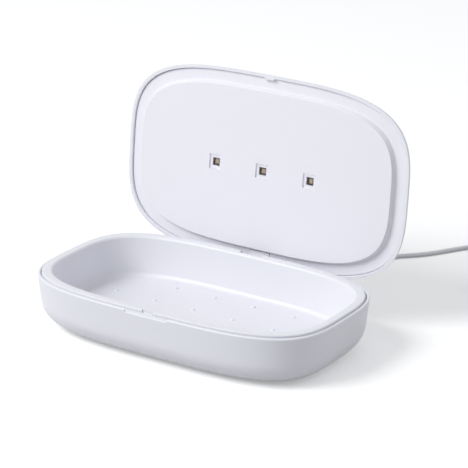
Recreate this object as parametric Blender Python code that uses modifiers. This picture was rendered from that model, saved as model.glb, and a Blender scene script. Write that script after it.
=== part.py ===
"""Clamshell ultraviolet steriliser box, shown open, with its power lead.

A rounded white base holds a tray for a phone or keys. A lid of the same outline turns on a
hinge in the middle of the rear wall. Three ultraviolet emitters sit behind small windows in
the lid's inner panel, and a start button sits in the lid's outer face.

Metres, +Z up, X along the long side, the front is at -Y. The base stands on z = 0.
"""

import math

import bmesh
import bpy
from mathutils import Matrix, Vector

MM = 0.001

# Driving sizes of the whole box
box_length = 200.0 * MM
box_width = 120.2 * MM
base_height = 32.8 * MM
foot_stand_off = 1.0 * MM
outline_power = 3.54
open_angle = math.radians(95.4)

# Clearances
fit_gap = 0.3 * MM
rim_gap = 0.4 * MM
socket_gap = 0.15 * MM
cut_overrun = 1.0 * MM

# Base shell
base_wall = 1.7 * MM
base_floor = 2.0 * MM
base_round = 14.8 * MM
base_draft = 3.15 * MM
rim_fillet = 1.0 * MM

# Tray
tray_edge_inset = 2.0 * MM
tray_skirt_drop = 2.0 * MM
tray_rise = 1.1 * MM
tray_edge_round = 0.6 * MM
tray_thickness = 1.8 * MM
tray_mouth_inset = 8.4 * MM
tray_mouth_fillet = 2.0 * MM
tray_wall_draft = 2.6 * MM
tray_floor_height = 9.0 * MM
tray_floor_fillet = 3.5 * MM
nub_radius = 1.6 * MM
nub_height = 0.8 * MM
nub_from_end = 28.75 * MM
nub_from_side = 24.1 * MM
nub_columns = 6
nub_rows = 4

# Lid shell and its inner panel
lid_wall = 1.8 * MM
lid_side_round = 7.6 * MM
lid_round_end_angle = 96.0
lid_crown = 1.2 * MM
crown_shares = (0.25, 0.5, 0.75)
lip_width = 2.1 * MM
lip_fillet = 0.4 * MM
panel_thickness = 1.8 * MM
panel_recess = 1.4 * MM
plateau_inset = 9.0 * MM
plateau_drop = 2.1 * MM
plateau_round = 1.6 * MM
plateau_foot_fillet = 0.8 * MM
panel_edge_chamfer = 0.3 * MM

# Hinge
hinge_from_rear = 2.6 * MM
hinge_below_rim = 5.35 * MM
barrel_radius = 2.6 * MM
pin_radius = 1.3 * MM
pin_bore = 0.75 * MM
pin_clearance = 0.15 * MM
arm_half_width = 7.3 * MM
ear_length = 3.9 * MM
strap_thickness = 1.5 * MM
strap_half_length = 23.0 * MM
strap_depth = 3.6 * MM
post_radius = 2.3 * MM
post_x = 20.0 * MM
post_height = 9.8 * MM

pin_window_half_width = 2.0 * MM
pin_window_back = 0.8 * MM
pin_window_low = 0.6 * MM

# Arm
arm_shoulder_rise = 3.1 * MM
arm_plate_thickness = 1.8 * MM
arm_plate_length = 10.4 * MM
arm_block_length = 3.2 * MM
arm_screw_x = 4.5 * MM
arm_screw_from_end = 2.5 * MM
arm_boss_radius = 2.3 * MM
arm_hole_skin = 0.7 * MM
lead_slot_width = 1.6 * MM
lead_slot_depth = 1.05 * MM
lead_bend_skin = 0.6 * MM
lead_hole_x = 14.5 * MM

# Emitters and their boards
emitter_pitch = 33.8 * MM
emitter_count = 3
window_side = 8.6 * MM
window_thickness = 0.5 * MM
window_set_back = 0.1 * MM
aperture_side = 5.0 * MM
emitter_side = 3.5 * MM
emitter_height = 1.3 * MM
board_thickness = 1.0 * MM
emitter_board_length = 84.0 * MM
emitter_board_width = 12.0 * MM
board_stake_radius = 0.8 * MM
board_pillar_radius = 2.0 * MM
board_stake_rise = 0.6 * MM
emitter_board_height = 1.1 * MM
board_stake_share = 0.42

# Start button, its switch and the status light
button_radius = 5.5 * MM
button_from_front = 24.1 * MM
button_travel = 0.5 * MM
button_set_back = 0.2 * MM
button_flange_width = 1.4 * MM
button_flange_thickness = 1.0 * MM
button_stem_radius = 1.5 * MM
switch_side = 6.0 * MM
switch_height = 1.5 * MM
control_board_length = 40.0 * MM
control_board_width = 16.0 * MM
control_board_height = 0.6 * MM
light_pipe_radius = 1.25 * MM
light_pipe_x = 11.0 * MM
light_pipe_collar = 0.8 * MM

# Feet and the screws under them
foot_radius = 6.0 * MM
foot_thickness = 1.6 * MM
foot_from_end = 48.0 * MM
foot_from_side = 28.1 * MM
screw_head_radius = 2.1 * MM
screw_head_height = 1.0 * MM
screw_radius = 1.0 * MM
screw_length = 4.8 * MM
boss_radius = 4.0 * MM
boss_height = 1.5 * MM
small_head_radius = 1.6 * MM
small_screw_radius = 0.75 * MM
bracket_screw_length = 7.5 * MM
arm_screw_length = 3.9 * MM

# Closing magnets and the front catch
magnet_x = 25.0 * MM
magnet_length = 8.0 * MM
magnet_width = 2.4 * MM
magnet_height = 1.9 * MM
lid_magnet_height = 1.4 * MM
magnet_shelf = 1.4 * MM
catch_half_width = 3.8 * MM
catch_depth = 1.3 * MM
catch_reach = 0.8 * MM
catch_thickness = 0.7 * MM
thumb_half_width = 17.0 * MM
thumb_depth = 0.8 * MM
thumb_height = 4.0 * MM

# Power inlet
inlet_x = 12.0 * MM
inlet_z = 11.0 * MM
inlet_width = 9.1 * MM
inlet_height = 3.2 * MM
inlet_length = 5.5 * MM
inlet_wall = 0.25 * MM
inlet_back = 0.6 * MM
inlet_set_back = 0.3 * MM
inlet_end_share = 0.48
tongue_width = 6.5 * MM
tongue_thickness = 0.7 * MM
tongue_length = 3.8 * MM
power_board_length = 34.0 * MM
power_board_width = 2.7 * MM
rib_thickness = 2.0 * MM
rib_depth = 3.1 * MM
rib_rise = 2.5 * MM

# Power lead
cable_radius = 1.5 * MM
cable_rest = 0.1 * MM
cable_step = 7.0 * MM
plug_width = 10.5 * MM
plug_height = 6.5 * MM
plug_length = 20.0 * MM
plug_stand_off = 0.4 * MM
plug_round = 2.4 * MM
plug_tip_root = 4.0 * MM
relief_length = 12.0 * MM
relief_root_radius = 2.9 * MM
relief_end_radius = 2.1 * MM
relief_ring_count = 4
relief_ring_depth = 0.35 * MM
coil_outer_radius = 24.0 * MM
coil_pitch = 3.5 * MM
coil_turns = 6.44
coil_points_per_turn = 24
coil_tail = 11.5 * MM
host_plug_width = 15.6 * MM
host_plug_height = 9.4 * MM
host_plug_length = 24.0 * MM
host_relief_radius = 2.4 * MM
host_relief_length = 9.0 * MM
host_shell_width = 12.0 * MM
host_shell_height = 4.5 * MM
host_shell_length = 18.5 * MM
host_shell_wall = 0.3 * MM
host_tongue_thickness = 1.9 * MM

# Leads inside the box
wire_radius = 0.45 * MM
wire_step = 2.0 * MM

# How finely round shapes are divided
outline_points = 48
round_steps = 6
small_round_steps = 3
pin_sides = 24
hidden_sides = 12
nub_sides = 8
span_steps = 12
corner_share = 0.45

# Places that follow from the sizes
half_length = box_length / 2
half_width = box_width / 2
rim_z = foot_stand_off + base_height
lid_rim_z = rim_z + rim_gap
tray_top_z = rim_z + tray_rise
hinge_y = half_width - hinge_from_rear
hinge_z = rim_z - hinge_below_rim
flange_z = lid_rim_z + panel_recess
flange_back_z = flange_z + panel_thickness
plateau_z = lid_rim_z - plateau_drop
plateau_back_z = plateau_z + panel_thickness
ear_start = arm_half_width + fit_gap
ear_end = ear_start + ear_length
notch_half_width = ear_end + fit_gap
foot_x = half_length - foot_from_end
foot_y = half_width - foot_from_side
button_y = -half_width + button_from_front
nub_pitch_x = 2 * (half_length - nub_from_end) / (nub_columns - 1)
nub_pitch_y = 2 * (half_width - nub_from_side) / (nub_rows - 1)


def base_inset(z):
    """How far the outside of the base lies inside the rim's outline at a height."""
    rise = z - foot_stand_off
    draft = base_draft * (1 - rise / base_height)
    if rise >= base_round:
        return draft
    drop = base_round - rise
    return draft + base_round - math.sqrt(base_round ** 2 - drop ** 2)


def lid_crown_rise(inset):
    """Height of the lid's slightly domed top above the end of its side round."""
    share = (inset - lid_side_round) / (half_width - lid_side_round)
    return lid_crown * (1 - (1 - max(share, 0)) ** 2)


def lid_inner_z(y):
    """Height of the inside of the closed lid's skin, along its middle."""
    inset = half_width - abs(y)
    if inset >= lid_side_round:
        return lid_rim_z + lid_side_round - lid_wall + lid_crown_rise(inset)
    across = lid_side_round - inset
    return lid_rim_z + math.sqrt((lid_side_round - lid_wall) ** 2 - across ** 2)


def opened(y, z):
    """Where a point of the closed lid goes when the lid is fully open."""
    dy = y - hinge_y
    dz = z - hinge_z
    cosine = math.cos(open_angle)
    sine = math.sin(open_angle)
    return hinge_y + dy * cosine + dz * sine, hinge_z - dy * sine + dz * cosine


# Start from an empty scene

for leftover in list(bpy.data.objects):
    bpy.data.objects.remove(leftover)

parts = bpy.data.collections.new("uv_sterilizer_box")
tools = bpy.data.collections.new("cutters")
bpy.context.scene.collection.children.link(parts)
bpy.context.scene.collection.children.link(tools)


def material(name, colour, roughness, metallic=0.0):
    made = bpy.data.materials.new(name)
    made.use_nodes = True
    shader = made.node_tree.nodes["Principled BSDF"]
    shader.inputs["Base Color"].default_value = (*colour, 1.0)
    shader.inputs["Roughness"].default_value = roughness
    shader.inputs["Metallic"].default_value = metallic
    return made


white_shell = material("white_shell", (0.82, 0.81, 0.86), 0.42)
white_inner = material("white_inner", (0.84, 0.83, 0.87), 0.36)
white_cable = material("white_cable", (0.80, 0.80, 0.82), 0.45)
grey_rubber = material("grey_rubber", (0.30, 0.30, 0.31), 0.80)
steel = material("steel", (0.60, 0.60, 0.61), 0.32, 1.0)
plated = material("plated", (0.72, 0.72, 0.72), 0.25, 1.0)
board_green = material("board_green", (0.05, 0.22, 0.12), 0.50)
dark_plastic = material("dark_plastic", (0.05, 0.05, 0.06), 0.50)
quartz = material("quartz", (0.86, 0.86, 0.92), 0.08)
ceramic = material("ceramic", (0.78, 0.70, 0.48), 0.40)
light_grey = material("light_grey", (0.70, 0.70, 0.74), 0.35)


# Frames that carry the pieces

def empty(name, location, parent=None):
    made = bpy.data.objects.new(name, None)
    made.location = location
    made.parent = parent
    parts.objects.link(made)
    return made


def arc(inset, z, radius, start, end, steps):
    """Points of a round in a wall's section, as pairs of inset and height."""
    points = []
    for step in range(steps + 1):
        angle = math.radians(start + (end - start) * step / steps)
        points.append((inset + radius * math.cos(angle), z + radius * math.sin(angle)))
    return points


def outline(inset):
    """One ring of the rounded outline, with its points closer together in the corners."""
    a = half_length - inset
    b = half_width - inset
    ring = []
    for index in range(outline_points):
        quarter, share = divmod(4 * index / outline_points, 1)
        crowded = share + corner_share * math.sin(2 * math.pi * share) / (2 * math.pi)
        turn = (quarter + crowded) * math.pi / 2
        angle = math.atan2(b * math.sin(turn), a * math.cos(turn))
        along = abs(math.cos(angle) / a) ** outline_power
        across = abs(math.sin(angle) / b) ** outline_power
        radius = (along + across) ** (-1 / outline_power)
        ring.append((radius * math.cos(angle), radius * math.sin(angle)))
    return ring


# Lid points are given as the closed lid lies over the base
lid_profile = arc(lid_side_round, lid_rim_z, lid_side_round, 180, lid_round_end_angle, round_steps)
for crown_share in crown_shares:
    crown_inset = lid_side_round + crown_share * (half_width - lid_side_round)
    lid_profile.append((crown_inset, lid_rim_z + lid_side_round + lid_crown_rise(crown_inset)))

lid_reach = max(opened(side * (half_width - inset), z)[0] for inset, z in lid_profile for side in (-1, 1))
base_y = -(lid_reach - half_width) / 2

base_frame = empty("base_frame", (0, base_y, 0))
lid_hinge = empty("lid_hinge", (0, base_y + hinge_y, hinge_z))
lid_hinge.rotation_euler = (-open_angle, 0, 0)
lid_origin = (0, -hinge_y, -hinge_z)


def add_object(name, mesh, look, carrier):
    made = bpy.data.objects.new(name, mesh)
    made.data.materials.append(look)
    made.parent = carrier
    if carrier is lid_hinge:
        made.location = lid_origin
    parts.objects.link(made)
    return made


def add_tool(name, mesh, target):
    """A cutter, or a body to be joined on, kept in the target's own frame."""
    made = bpy.data.objects.new(name, mesh)
    made.parent = target
    made.hide_render = True
    made.display_type = "WIRE"
    tools.objects.link(made)
    return made


def mesh_from(shape, name):
    mesh = bpy.data.meshes.new(name)
    shape.to_mesh(mesh)
    shape.free()
    mesh.shade_smooth()
    mesh.set_sharp_from_angle(angle=math.radians(35))
    return mesh


def finish_mesh(shape, name):
    bmesh.ops.recalc_face_normals(shape, faces=shape.faces)
    return mesh_from(shape, name)


def shell_mesh(name, profile):
    """A closed body lofted through one ring of the outline for each inset and height."""
    shape = bmesh.new()
    rings = [[shape.verts.new((x, y, z)) for x, y in outline(inset)] for inset, z in profile]
    for lower, upper in zip(rings, rings[1:]):
        for i in range(outline_points):
            shape.faces.new((lower[i - 1], lower[i], upper[i], upper[i - 1]))
    shape.faces.new(reversed(rings[0]))
    shape.faces.new(rings[-1])
    if shape.calc_volume(signed=True) < 0:
        bmesh.ops.reverse_faces(shape, faces=shape.faces)
    return mesh_from(shape, name)


def box_mesh(name, low, high, rounding=0, axis=None, segments=3):
    """A box between two corners, with the edges along one axis rounded when asked."""
    shape = bmesh.new()
    bmesh.ops.create_cube(shape, size=1)
    size = [top - bottom for bottom, top in zip(low, high)]
    centre = [(top + bottom) / 2 for bottom, top in zip(low, high)]
    bmesh.ops.scale(shape, vec=size, verts=shape.verts)
    bmesh.ops.translate(shape, vec=centre, verts=shape.verts)
    if rounding:
        chosen = []
        for edge in shape.edges:
            way = edge.verts[1].co - edge.verts[0].co
            if axis is None or abs(way[axis]) > max(abs(way[i]) for i in range(3) if i != axis):
                chosen.append(edge)
        bmesh.ops.bevel(shape, geom=chosen, offset=rounding, segments=segments, profile=0.5,
                        affect="EDGES")
    return finish_mesh(shape, name)


def rod_mesh(name, start, end, radius, sides=pin_sides, end_radius=None):
    """A straight round rod or cone between two points."""
    shape = bmesh.new()
    way = Vector(end) - Vector(start)
    bmesh.ops.create_cone(shape, cap_ends=True, segments=sides, radius1=radius,
                          radius2=radius if end_radius is None else end_radius, depth=way.length)
    turn = Vector((0, 0, 1)).rotation_difference(way)
    place = Matrix.Translation((Vector(start) + Vector(end)) / 2) @ turn.to_matrix().to_4x4()
    bmesh.ops.transform(shape, matrix=place, verts=shape.verts)
    return finish_mesh(shape, name)


def plate_mesh(name, corners, low_x, high_x):
    """A flat outline in Y and Z, given thickness along X."""
    shape = bmesh.new()
    face = shape.faces.new([shape.verts.new((low_x, y, z)) for y, z in corners])
    pushed = bmesh.ops.extrude_face_region(shape, geom=[face])
    moved = [item for item in pushed["geom"] if isinstance(item, bmesh.types.BMVert)]
    bmesh.ops.translate(shape, vec=(high_x - low_x, 0, 0), verts=moved)
    return finish_mesh(shape, name)


def joined_mesh(name, meshes):
    """Several separate meshes in one, for a tool that works in many places."""
    shape = bmesh.new()
    for mesh in meshes:
        shape.from_mesh(mesh)
    return finish_mesh(shape, name)


def upright_rods(name, places, low_z, high_z, radius, sides=hidden_sides):
    """The same upright rod at each of several places, as one mesh."""
    return joined_mesh(name, [rod_mesh(name, (x, y, low_z), (x, y, high_z), radius, sides)
                              for x, y in places])


def change(target, operation, name, mesh):
    tool = add_tool(f"{target.name}_{name}", mesh, target)
    step = target.modifiers.new(name, "BOOLEAN")
    step.operation = operation
    step.solver = "EXACT"
    step.object = tool
    return tool


def cut(target, name, mesh):
    return change(target, "DIFFERENCE", name, mesh)


def join(target, name, mesh):
    return change(target, "UNION", name, mesh)


def turned(name, profile, look, carrier, place, direction=(0, 0, 1), steps=pin_sides):
    """A turned piece: a half section, written from top to bottom, spun with a Screw modifier."""
    mesh = bpy.data.meshes.new(name)
    points = [(radius, 0, height) for radius, height in profile]
    mesh.from_pydata(points, [(i, i + 1) for i in range(len(points) - 1)], [])
    made = add_object(name, mesh, look, carrier)
    made.location = Vector(made.location) + Vector(place)
    made.rotation_mode = "QUATERNION"
    made.rotation_quaternion = Vector((0, 0, 1)).rotation_difference(Vector(direction))
    spin = made.modifiers.new("spin", "SCREW")
    spin.steps = steps
    spin.render_steps = steps
    spin.use_merge_vertices = True
    spin.merge_threshold = fit_gap / 10
    spin.use_smooth_shade = False
    return made


def headed_pin(name, look, carrier, place, direction, head_radius, head_height, radius, length):
    """A screw whose head starts at its place and whose shank points along a direction."""
    top = head_height + length
    profile = [(0, top), (radius, top), (radius, head_height), (head_radius, head_height),
               (head_radius, 0), (0, 0)]
    return turned(name, profile, look, carrier, place, direction, steps=hidden_sides)


# Base shell

def wall_draft(z):
    return base_draft * (1 - (z - foot_stand_off) / base_height)


def base_shell_profile():
    floor_z = foot_stand_off + base_floor
    round_z = foot_stand_off + base_round
    points = []
    for step in range(round_steps + 1):
        z = round_z - base_round * math.cos(math.radians(90 * step / round_steps))
        points.append((base_inset(z), z))
    points += arc(rim_fillet, rim_z - rim_fillet, rim_fillet, 180, 90, small_round_steps)
    points.append((base_wall, rim_z))
    for step in range(round_steps):
        angle = math.radians(90 * step / (round_steps - 1))
        z = round_z - (round_z - floor_z) * math.sin(angle)
        round_in = (base_round - base_wall) * (1 - math.cos(angle))
        points.append((base_wall + wall_draft(z) + round_in, z))
    return points


foot_places = {
    "front_left": (-foot_x, -foot_y),
    "front_right": (foot_x, -foot_y),
    "rear_left": (-foot_x, foot_y),
    "rear_right": (foot_x, foot_y),
}
foot_recess_z = foot_thickness + fit_gap
head_low_z = foot_recess_z + fit_gap
head_high_z = head_low_z + screw_head_height
boss_top_z = foot_stand_off + base_floor + boss_height
tray_boss_z = boss_top_z + fit_gap
post_y = hinge_y - barrel_radius + fit_gap
strap_low_z = hinge_z - barrel_radius - 2 * fit_gap - strap_thickness
strap_top_z = strap_low_z + strap_thickness
post_top_z = strap_low_z - fit_gap

stop_reach = half_width - base_inset(hinge_z - barrel_radius) - hinge_y
stop_face_drop = (barrel_radius - stop_reach * math.cos(open_angle)) / math.sin(open_angle)
sill_z = hinge_z - stop_face_drop - fit_gap

base_shell = add_object("base_shell", shell_mesh("base_shell", base_shell_profile()), white_shell, base_frame)

feet = foot_places.values()
posts = [(-post_x, post_y), (post_x, post_y)]
join(base_shell, "foot_bosses", upright_rods(
    "foot_bosses", feet, foot_stand_off + base_floor / 2, boss_top_z, boss_radius))
join(base_shell, "hinge_posts", upright_rods(
    "hinge_posts", posts, post_top_z - post_height, post_top_z, post_radius))
for side, x in (("left", -magnet_x), ("right", magnet_x)):
    shelf_high = rim_z + tray_rise - tray_thickness - magnet_height - 2 * fit_gap
    shelf_front = half_width - base_wall / 2
    shelf_back = half_width - tray_mouth_inset + tray_thickness + fit_gap
    join(base_shell, f"magnet_shelf_{side}", box_mesh(
        "shelf", (x - magnet_length / 2 - fit_gap, -shelf_front, shelf_high - magnet_shelf),
        (x + magnet_length / 2 + fit_gap, -shelf_back - fit_gap, shelf_high)))

board_top_z = inlet_z - inlet_height / 2 - fit_gap
board_low_z = board_top_z - board_thickness
rib_low_z = foot_stand_off + base_floor + rib_rise
rib_rear_y = half_width - base_inset(rib_low_z) - base_wall / 2
for side in (-1, 1):
    rib_x = inlet_x + side * power_board_length / 3
    join(base_shell, "board_rib_right" if side > 0 else "board_rib_left", box_mesh(
        "rib", (rib_x - rib_thickness / 2, rib_rear_y - rib_depth, rib_low_z),
        (rib_x + rib_thickness / 2, rib_rear_y, board_low_z - fit_gap)))

cut(base_shell, "foot_recesses", upright_rods(
    "foot_recesses", feet, foot_stand_off - cut_overrun, foot_recess_z, foot_radius + fit_gap, pin_sides))
cut(base_shell, "screw_heads", upright_rods(
    "screw_heads", feet, foot_stand_off, head_high_z + fit_gap, screw_head_radius + fit_gap))
cut(base_shell, "screw_holes", upright_rods(
    "screw_holes", feet, foot_stand_off, boss_top_z + cut_overrun, screw_radius + fit_gap))
cut(base_shell, "post_holes", upright_rods(
    "post_holes", posts, post_top_z - bracket_screw_length, post_top_z + cut_overrun,
    small_screw_radius + fit_gap))
cut(base_shell, "hinge_notch", box_mesh(
    "hinge_notch", (-notch_half_width, hinge_y - barrel_radius - fit_gap, sill_z),
    (notch_half_width, half_width + cut_overrun, rim_z + cut_overrun)))
cut(base_shell, "inlet_opening", box_mesh(
    "inlet_opening",
    (inlet_x - inlet_width / 2 - fit_gap, half_width - base_inset(inlet_z) - 2 * base_wall,
     inlet_z - inlet_height / 2 - fit_gap),
    (inlet_x + inlet_width / 2 + fit_gap, half_width + cut_overrun, inlet_z + inlet_height / 2 + fit_gap),
    rounding=inlet_height / 2, axis=1))
cut(base_shell, "thumb_notch", rod_mesh(
    "thumb_notch", (-thumb_half_width, -half_width - thumb_height + thumb_depth, rim_z),
    (thumb_half_width, -half_width - thumb_height + thumb_depth, rim_z), thumb_height, sides=2 * pin_sides))


# Inner tray

def tray_profile():
    wall_low_inset = tray_mouth_inset + tray_wall_draft
    fillet_z = tray_floor_height + tray_floor_fillet
    fillet_inset = wall_low_inset + tray_floor_fillet
    edge_inset = lip_width + fit_gap
    skirt_z = rim_z - tray_skirt_drop
    points = arc(fillet_inset, fillet_z, tray_floor_fillet, 270, 180, round_steps - 1)
    points += arc(tray_mouth_inset - tray_mouth_fillet, tray_top_z - tray_mouth_fillet, tray_mouth_fillet,
                  0, 90, small_round_steps + 1)
    points += arc(edge_inset + tray_edge_round, tray_top_z - tray_edge_round, tray_edge_round,
                  90, 180, small_round_steps)
    points.append((edge_inset, rim_z))
    points.append((tray_edge_inset, rim_z - fit_gap))
    points.append((tray_edge_inset, skirt_z))
    points.append((tray_edge_inset + tray_thickness, skirt_z))
    points.append((tray_edge_inset + tray_thickness, tray_top_z - tray_thickness))
    points.append((tray_mouth_inset - tray_thickness, tray_top_z - tray_thickness))
    points += arc(fillet_inset, fillet_z, tray_floor_fillet + tray_thickness, 180, 270, round_steps - 1)
    return points


def dome_mesh(name, x, y, z):
    """A low round nub, sunk a little into the floor that carries it."""
    shape = bmesh.new()
    bmesh.ops.create_uvsphere(shape, u_segments=nub_sides, v_segments=nub_sides // 2, radius=1)
    bmesh.ops.scale(shape, vec=(nub_radius, nub_radius, nub_height), verts=shape.verts)
    bmesh.ops.translate(shape, vec=(x, y, z), verts=shape.verts)
    return finish_mesh(shape, name)


inner_tray = add_object("inner_tray", shell_mesh("inner_tray", tray_profile()), white_inner, base_frame)

nubs = []
for column in range(nub_columns):
    for row in range(nub_rows):
        at_corner = column in (0, nub_columns - 1) and row in (0, nub_rows - 1)
        if not at_corner:
            nub_x = (column - (nub_columns - 1) / 2) * nub_pitch_x
            nub_y = (row - (nub_rows - 1) / 2) * nub_pitch_y
            nubs.append(dome_mesh("nub", nub_x, nub_y, tray_floor_height))
join(inner_tray, "nubs", joined_mesh("nubs", nubs))
join(inner_tray, "screw_bosses", upright_rods(
    "screw_bosses", feet, tray_boss_z, tray_floor_height - tray_thickness / 2, boss_radius))
screw_top_z = head_high_z + screw_length
cut(inner_tray, "screw_holes", upright_rods(
    "screw_holes", feet, tray_boss_z - cut_overrun, screw_top_z + fit_gap, screw_radius + fit_gap))
cut(inner_tray, "arm_slot", box_mesh(
    "arm_slot", (-arm_half_width - 2 * fit_gap, hinge_y - barrel_radius - 3 * fit_gap, hinge_z),
    (arm_half_width + 2 * fit_gap, half_width, tray_top_z + cut_overrun)))
cut(inner_tray, "catch_slot", box_mesh(
    "catch_slot", (-catch_half_width, -half_width, rim_z - catch_reach),
    (catch_half_width, -half_width + tray_edge_inset + catch_depth, tray_top_z + cut_overrun)))


# Feet and the screws that hold the tray

def foot_profile():
    edge = tray_edge_round
    return [(0, foot_thickness), (foot_radius, foot_thickness), (foot_radius, edge),
            (foot_radius - edge / 3, edge / 3), (foot_radius - edge, 0), (0, 0)]


for name, (x, y) in foot_places.items():
    turned(f"foot_{name}", foot_profile(), grey_rubber, base_frame, (x, y, 0))
    headed_pin(f"base_screw_{name}", steel, base_frame, (x, y, head_low_z), (0, 0, 1),
               screw_head_radius, screw_head_height, screw_radius, screw_length)


# Hinge: a strap across two posts, with an ear on each side of the lid's arm

strap_front_y = post_y - strap_depth / 2
strap_rear_y = post_y + strap_depth / 2
hinge_bracket = add_object("hinge_bracket", box_mesh(
    "hinge_bracket", (-strap_half_length, strap_front_y, strap_low_z),
    (strap_half_length, strap_rear_y, strap_top_z)), steel, base_frame)
for side_name, near, far in (("left", -ear_end, -ear_start), ("right", ear_start, ear_end)):
    join(hinge_bracket, f"web_{side_name}", box_mesh(
        "web", (near, hinge_y - barrel_radius + fit_gap, strap_top_z - strap_thickness / 2),
        (far, strap_rear_y - fit_gap, hinge_z)))
    join(hinge_bracket, f"ear_{side_name}", rod_mesh(
        "ear", (near, hinge_y, hinge_z), (far, hinge_y, hinge_z), barrel_radius))
cut(hinge_bracket, "pin_bore", rod_mesh(
    "pin_bore", (-ear_end - cut_overrun, hinge_y, hinge_z), (ear_end + cut_overrun, hinge_y, hinge_z),
    pin_radius + pin_clearance))
cut(hinge_bracket, "screw_holes", upright_rods(
    "screw_holes", posts, strap_low_z - cut_overrun, strap_top_z + cut_overrun, small_screw_radius + fit_gap))
cut(hinge_bracket, "lead_hole", upright_rods(
    "lead_hole", [(-lead_hole_x, post_y)], strap_low_z - cut_overrun, strap_top_z + cut_overrun,
    wire_radius + fit_gap))
for side_name, x in (("left", -post_x), ("right", post_x)):
    headed_pin(f"bracket_screw_{side_name}", steel, base_frame,
               (x, post_y, strap_top_z + fit_gap + screw_head_height), (0, 0, -1),
               small_head_radius, screw_head_height, small_screw_radius, bracket_screw_length)

hinge_pin = add_object("hinge_pin", rod_mesh(
    "hinge_pin", (-ear_end, hinge_y, hinge_z), (ear_end, hinge_y, hinge_z), pin_radius), plated, base_frame)
cut(hinge_pin, "bore", rod_mesh(
    "bore", (-ear_end - cut_overrun, hinge_y, hinge_z), (ear_end + cut_overrun, hinge_y, hinge_z),
    pin_bore, sides=hidden_sides))
cut(hinge_pin, "lead_window", box_mesh(
    "lead_window", (-pin_window_half_width, hinge_y - pin_window_back, hinge_z - pin_window_low),
    (pin_window_half_width, hinge_y + pin_radius + cut_overrun, hinge_z + pin_radius + cut_overrun)))


# Hinge arm, on the lid

def arm_profile():
    """Section of the arm from its barrel, up behind the tray and in over the panel."""
    rear_y = half_width - lip_width - fit_gap
    round_y = half_width - lid_side_round
    top_radius = lid_side_round - lid_wall - 1.5 * fit_gap
    first = math.degrees(math.acos((rear_y - round_y) / top_radius))
    corners = [(hinge_y + barrel_radius, hinge_z + arm_shoulder_rise), (rear_y, lid_rim_z - 2 * fit_gap)]
    corners += arc(round_y, lid_rim_z, top_radius, first, 90, small_round_steps + 1)
    corners.append((arm_end_y, arm_top_z))
    corners.append((arm_end_y, arm_top_z - arm_plate_thickness))
    corners.append((arm_front_y, arm_top_z - arm_plate_thickness))
    corners.append((arm_front_y, tray_top_z + rim_gap))
    corners.append((hinge_y - barrel_radius, tray_top_z + rim_gap))
    corners += arc(hinge_y, hinge_z, barrel_radius, 180, 360, pin_sides // 2)
    return corners


arm_front_y = hinge_y - barrel_radius - arm_block_length
arm_end_y = arm_front_y - arm_plate_length
arm_top_z = lid_rim_z + lid_side_round - lid_wall - 1.5 * fit_gap
arm_screw_y = arm_end_y + arm_screw_from_end

hinge_arm = add_object("hinge_arm", plate_mesh(
    "hinge_arm", arm_profile(), -arm_half_width, arm_half_width), white_inner, lid_hinge)
cut(hinge_arm, "pin_bore", rod_mesh(
    "pin_bore", (-arm_half_width - cut_overrun, hinge_y, hinge_z),
    (arm_half_width + cut_overrun, hinge_y, hinge_z), pin_radius + pin_clearance))
slot_front_y = hinge_y - pin_radius - pin_clearance
cut(hinge_arm, "lead_slot", box_mesh(
    "lead_slot", (-lead_slot_width / 2, slot_front_y, hinge_z),
    (lead_slot_width / 2, slot_front_y + lead_slot_width + fit_gap, lid_rim_z + lid_side_round)))
cut(hinge_arm, "lead_groove", box_mesh(
    "lead_groove", (-lead_slot_width / 2, arm_end_y - cut_overrun, arm_top_z - lead_slot_depth),
    (lead_slot_width / 2, slot_front_y + lead_slot_width, lid_rim_z + lid_side_round)))
cut(hinge_arm, "lead_bend", box_mesh(
    "lead_bend", (-lead_slot_width / 2, arm_front_y + lead_bend_skin, flange_back_z - lead_bend_skin),
    (lead_slot_width / 2, slot_front_y + lead_slot_width, lid_rim_z + lid_side_round)))
arm_screws = [(-arm_screw_x, arm_screw_y), (arm_screw_x, arm_screw_y)]
cut(hinge_arm, "screw_holes", upright_rods(
    "screw_holes", arm_screws, flange_z, arm_top_z + cut_overrun, small_screw_radius + fit_gap))
arm_head_z = arm_top_z - arm_plate_thickness - fit_gap - screw_head_height
for side_name, x in (("left", -arm_screw_x), ("right", arm_screw_x)):
    headed_pin(f"arm_screw_{side_name}", steel, lid_hinge, (x, arm_screw_y, arm_head_z), (0, 0, 1),
               small_head_radius, screw_head_height, small_screw_radius, arm_screw_length)


# Lid shell

def lid_shell_profile():
    inner_radius = lid_side_round - lid_wall
    lip_angle = 180 - math.degrees(math.acos((lid_side_round - lip_width) / inner_radius))
    outer = lid_profile[:round_steps + 1]
    crown = lid_profile[round_steps + 1:]
    points = [*reversed(crown), *reversed(outer)]
    points += arc(lip_width - lip_fillet, lid_rim_z + lip_fillet, lip_fillet, 270, 360, small_round_steps)
    points += arc(lid_side_round, lid_rim_z, inner_radius, lip_angle, lid_round_end_angle,
                  round_steps - 2)
    points += [(inset, z - lid_wall) for inset, z in crown]
    return points


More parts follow.
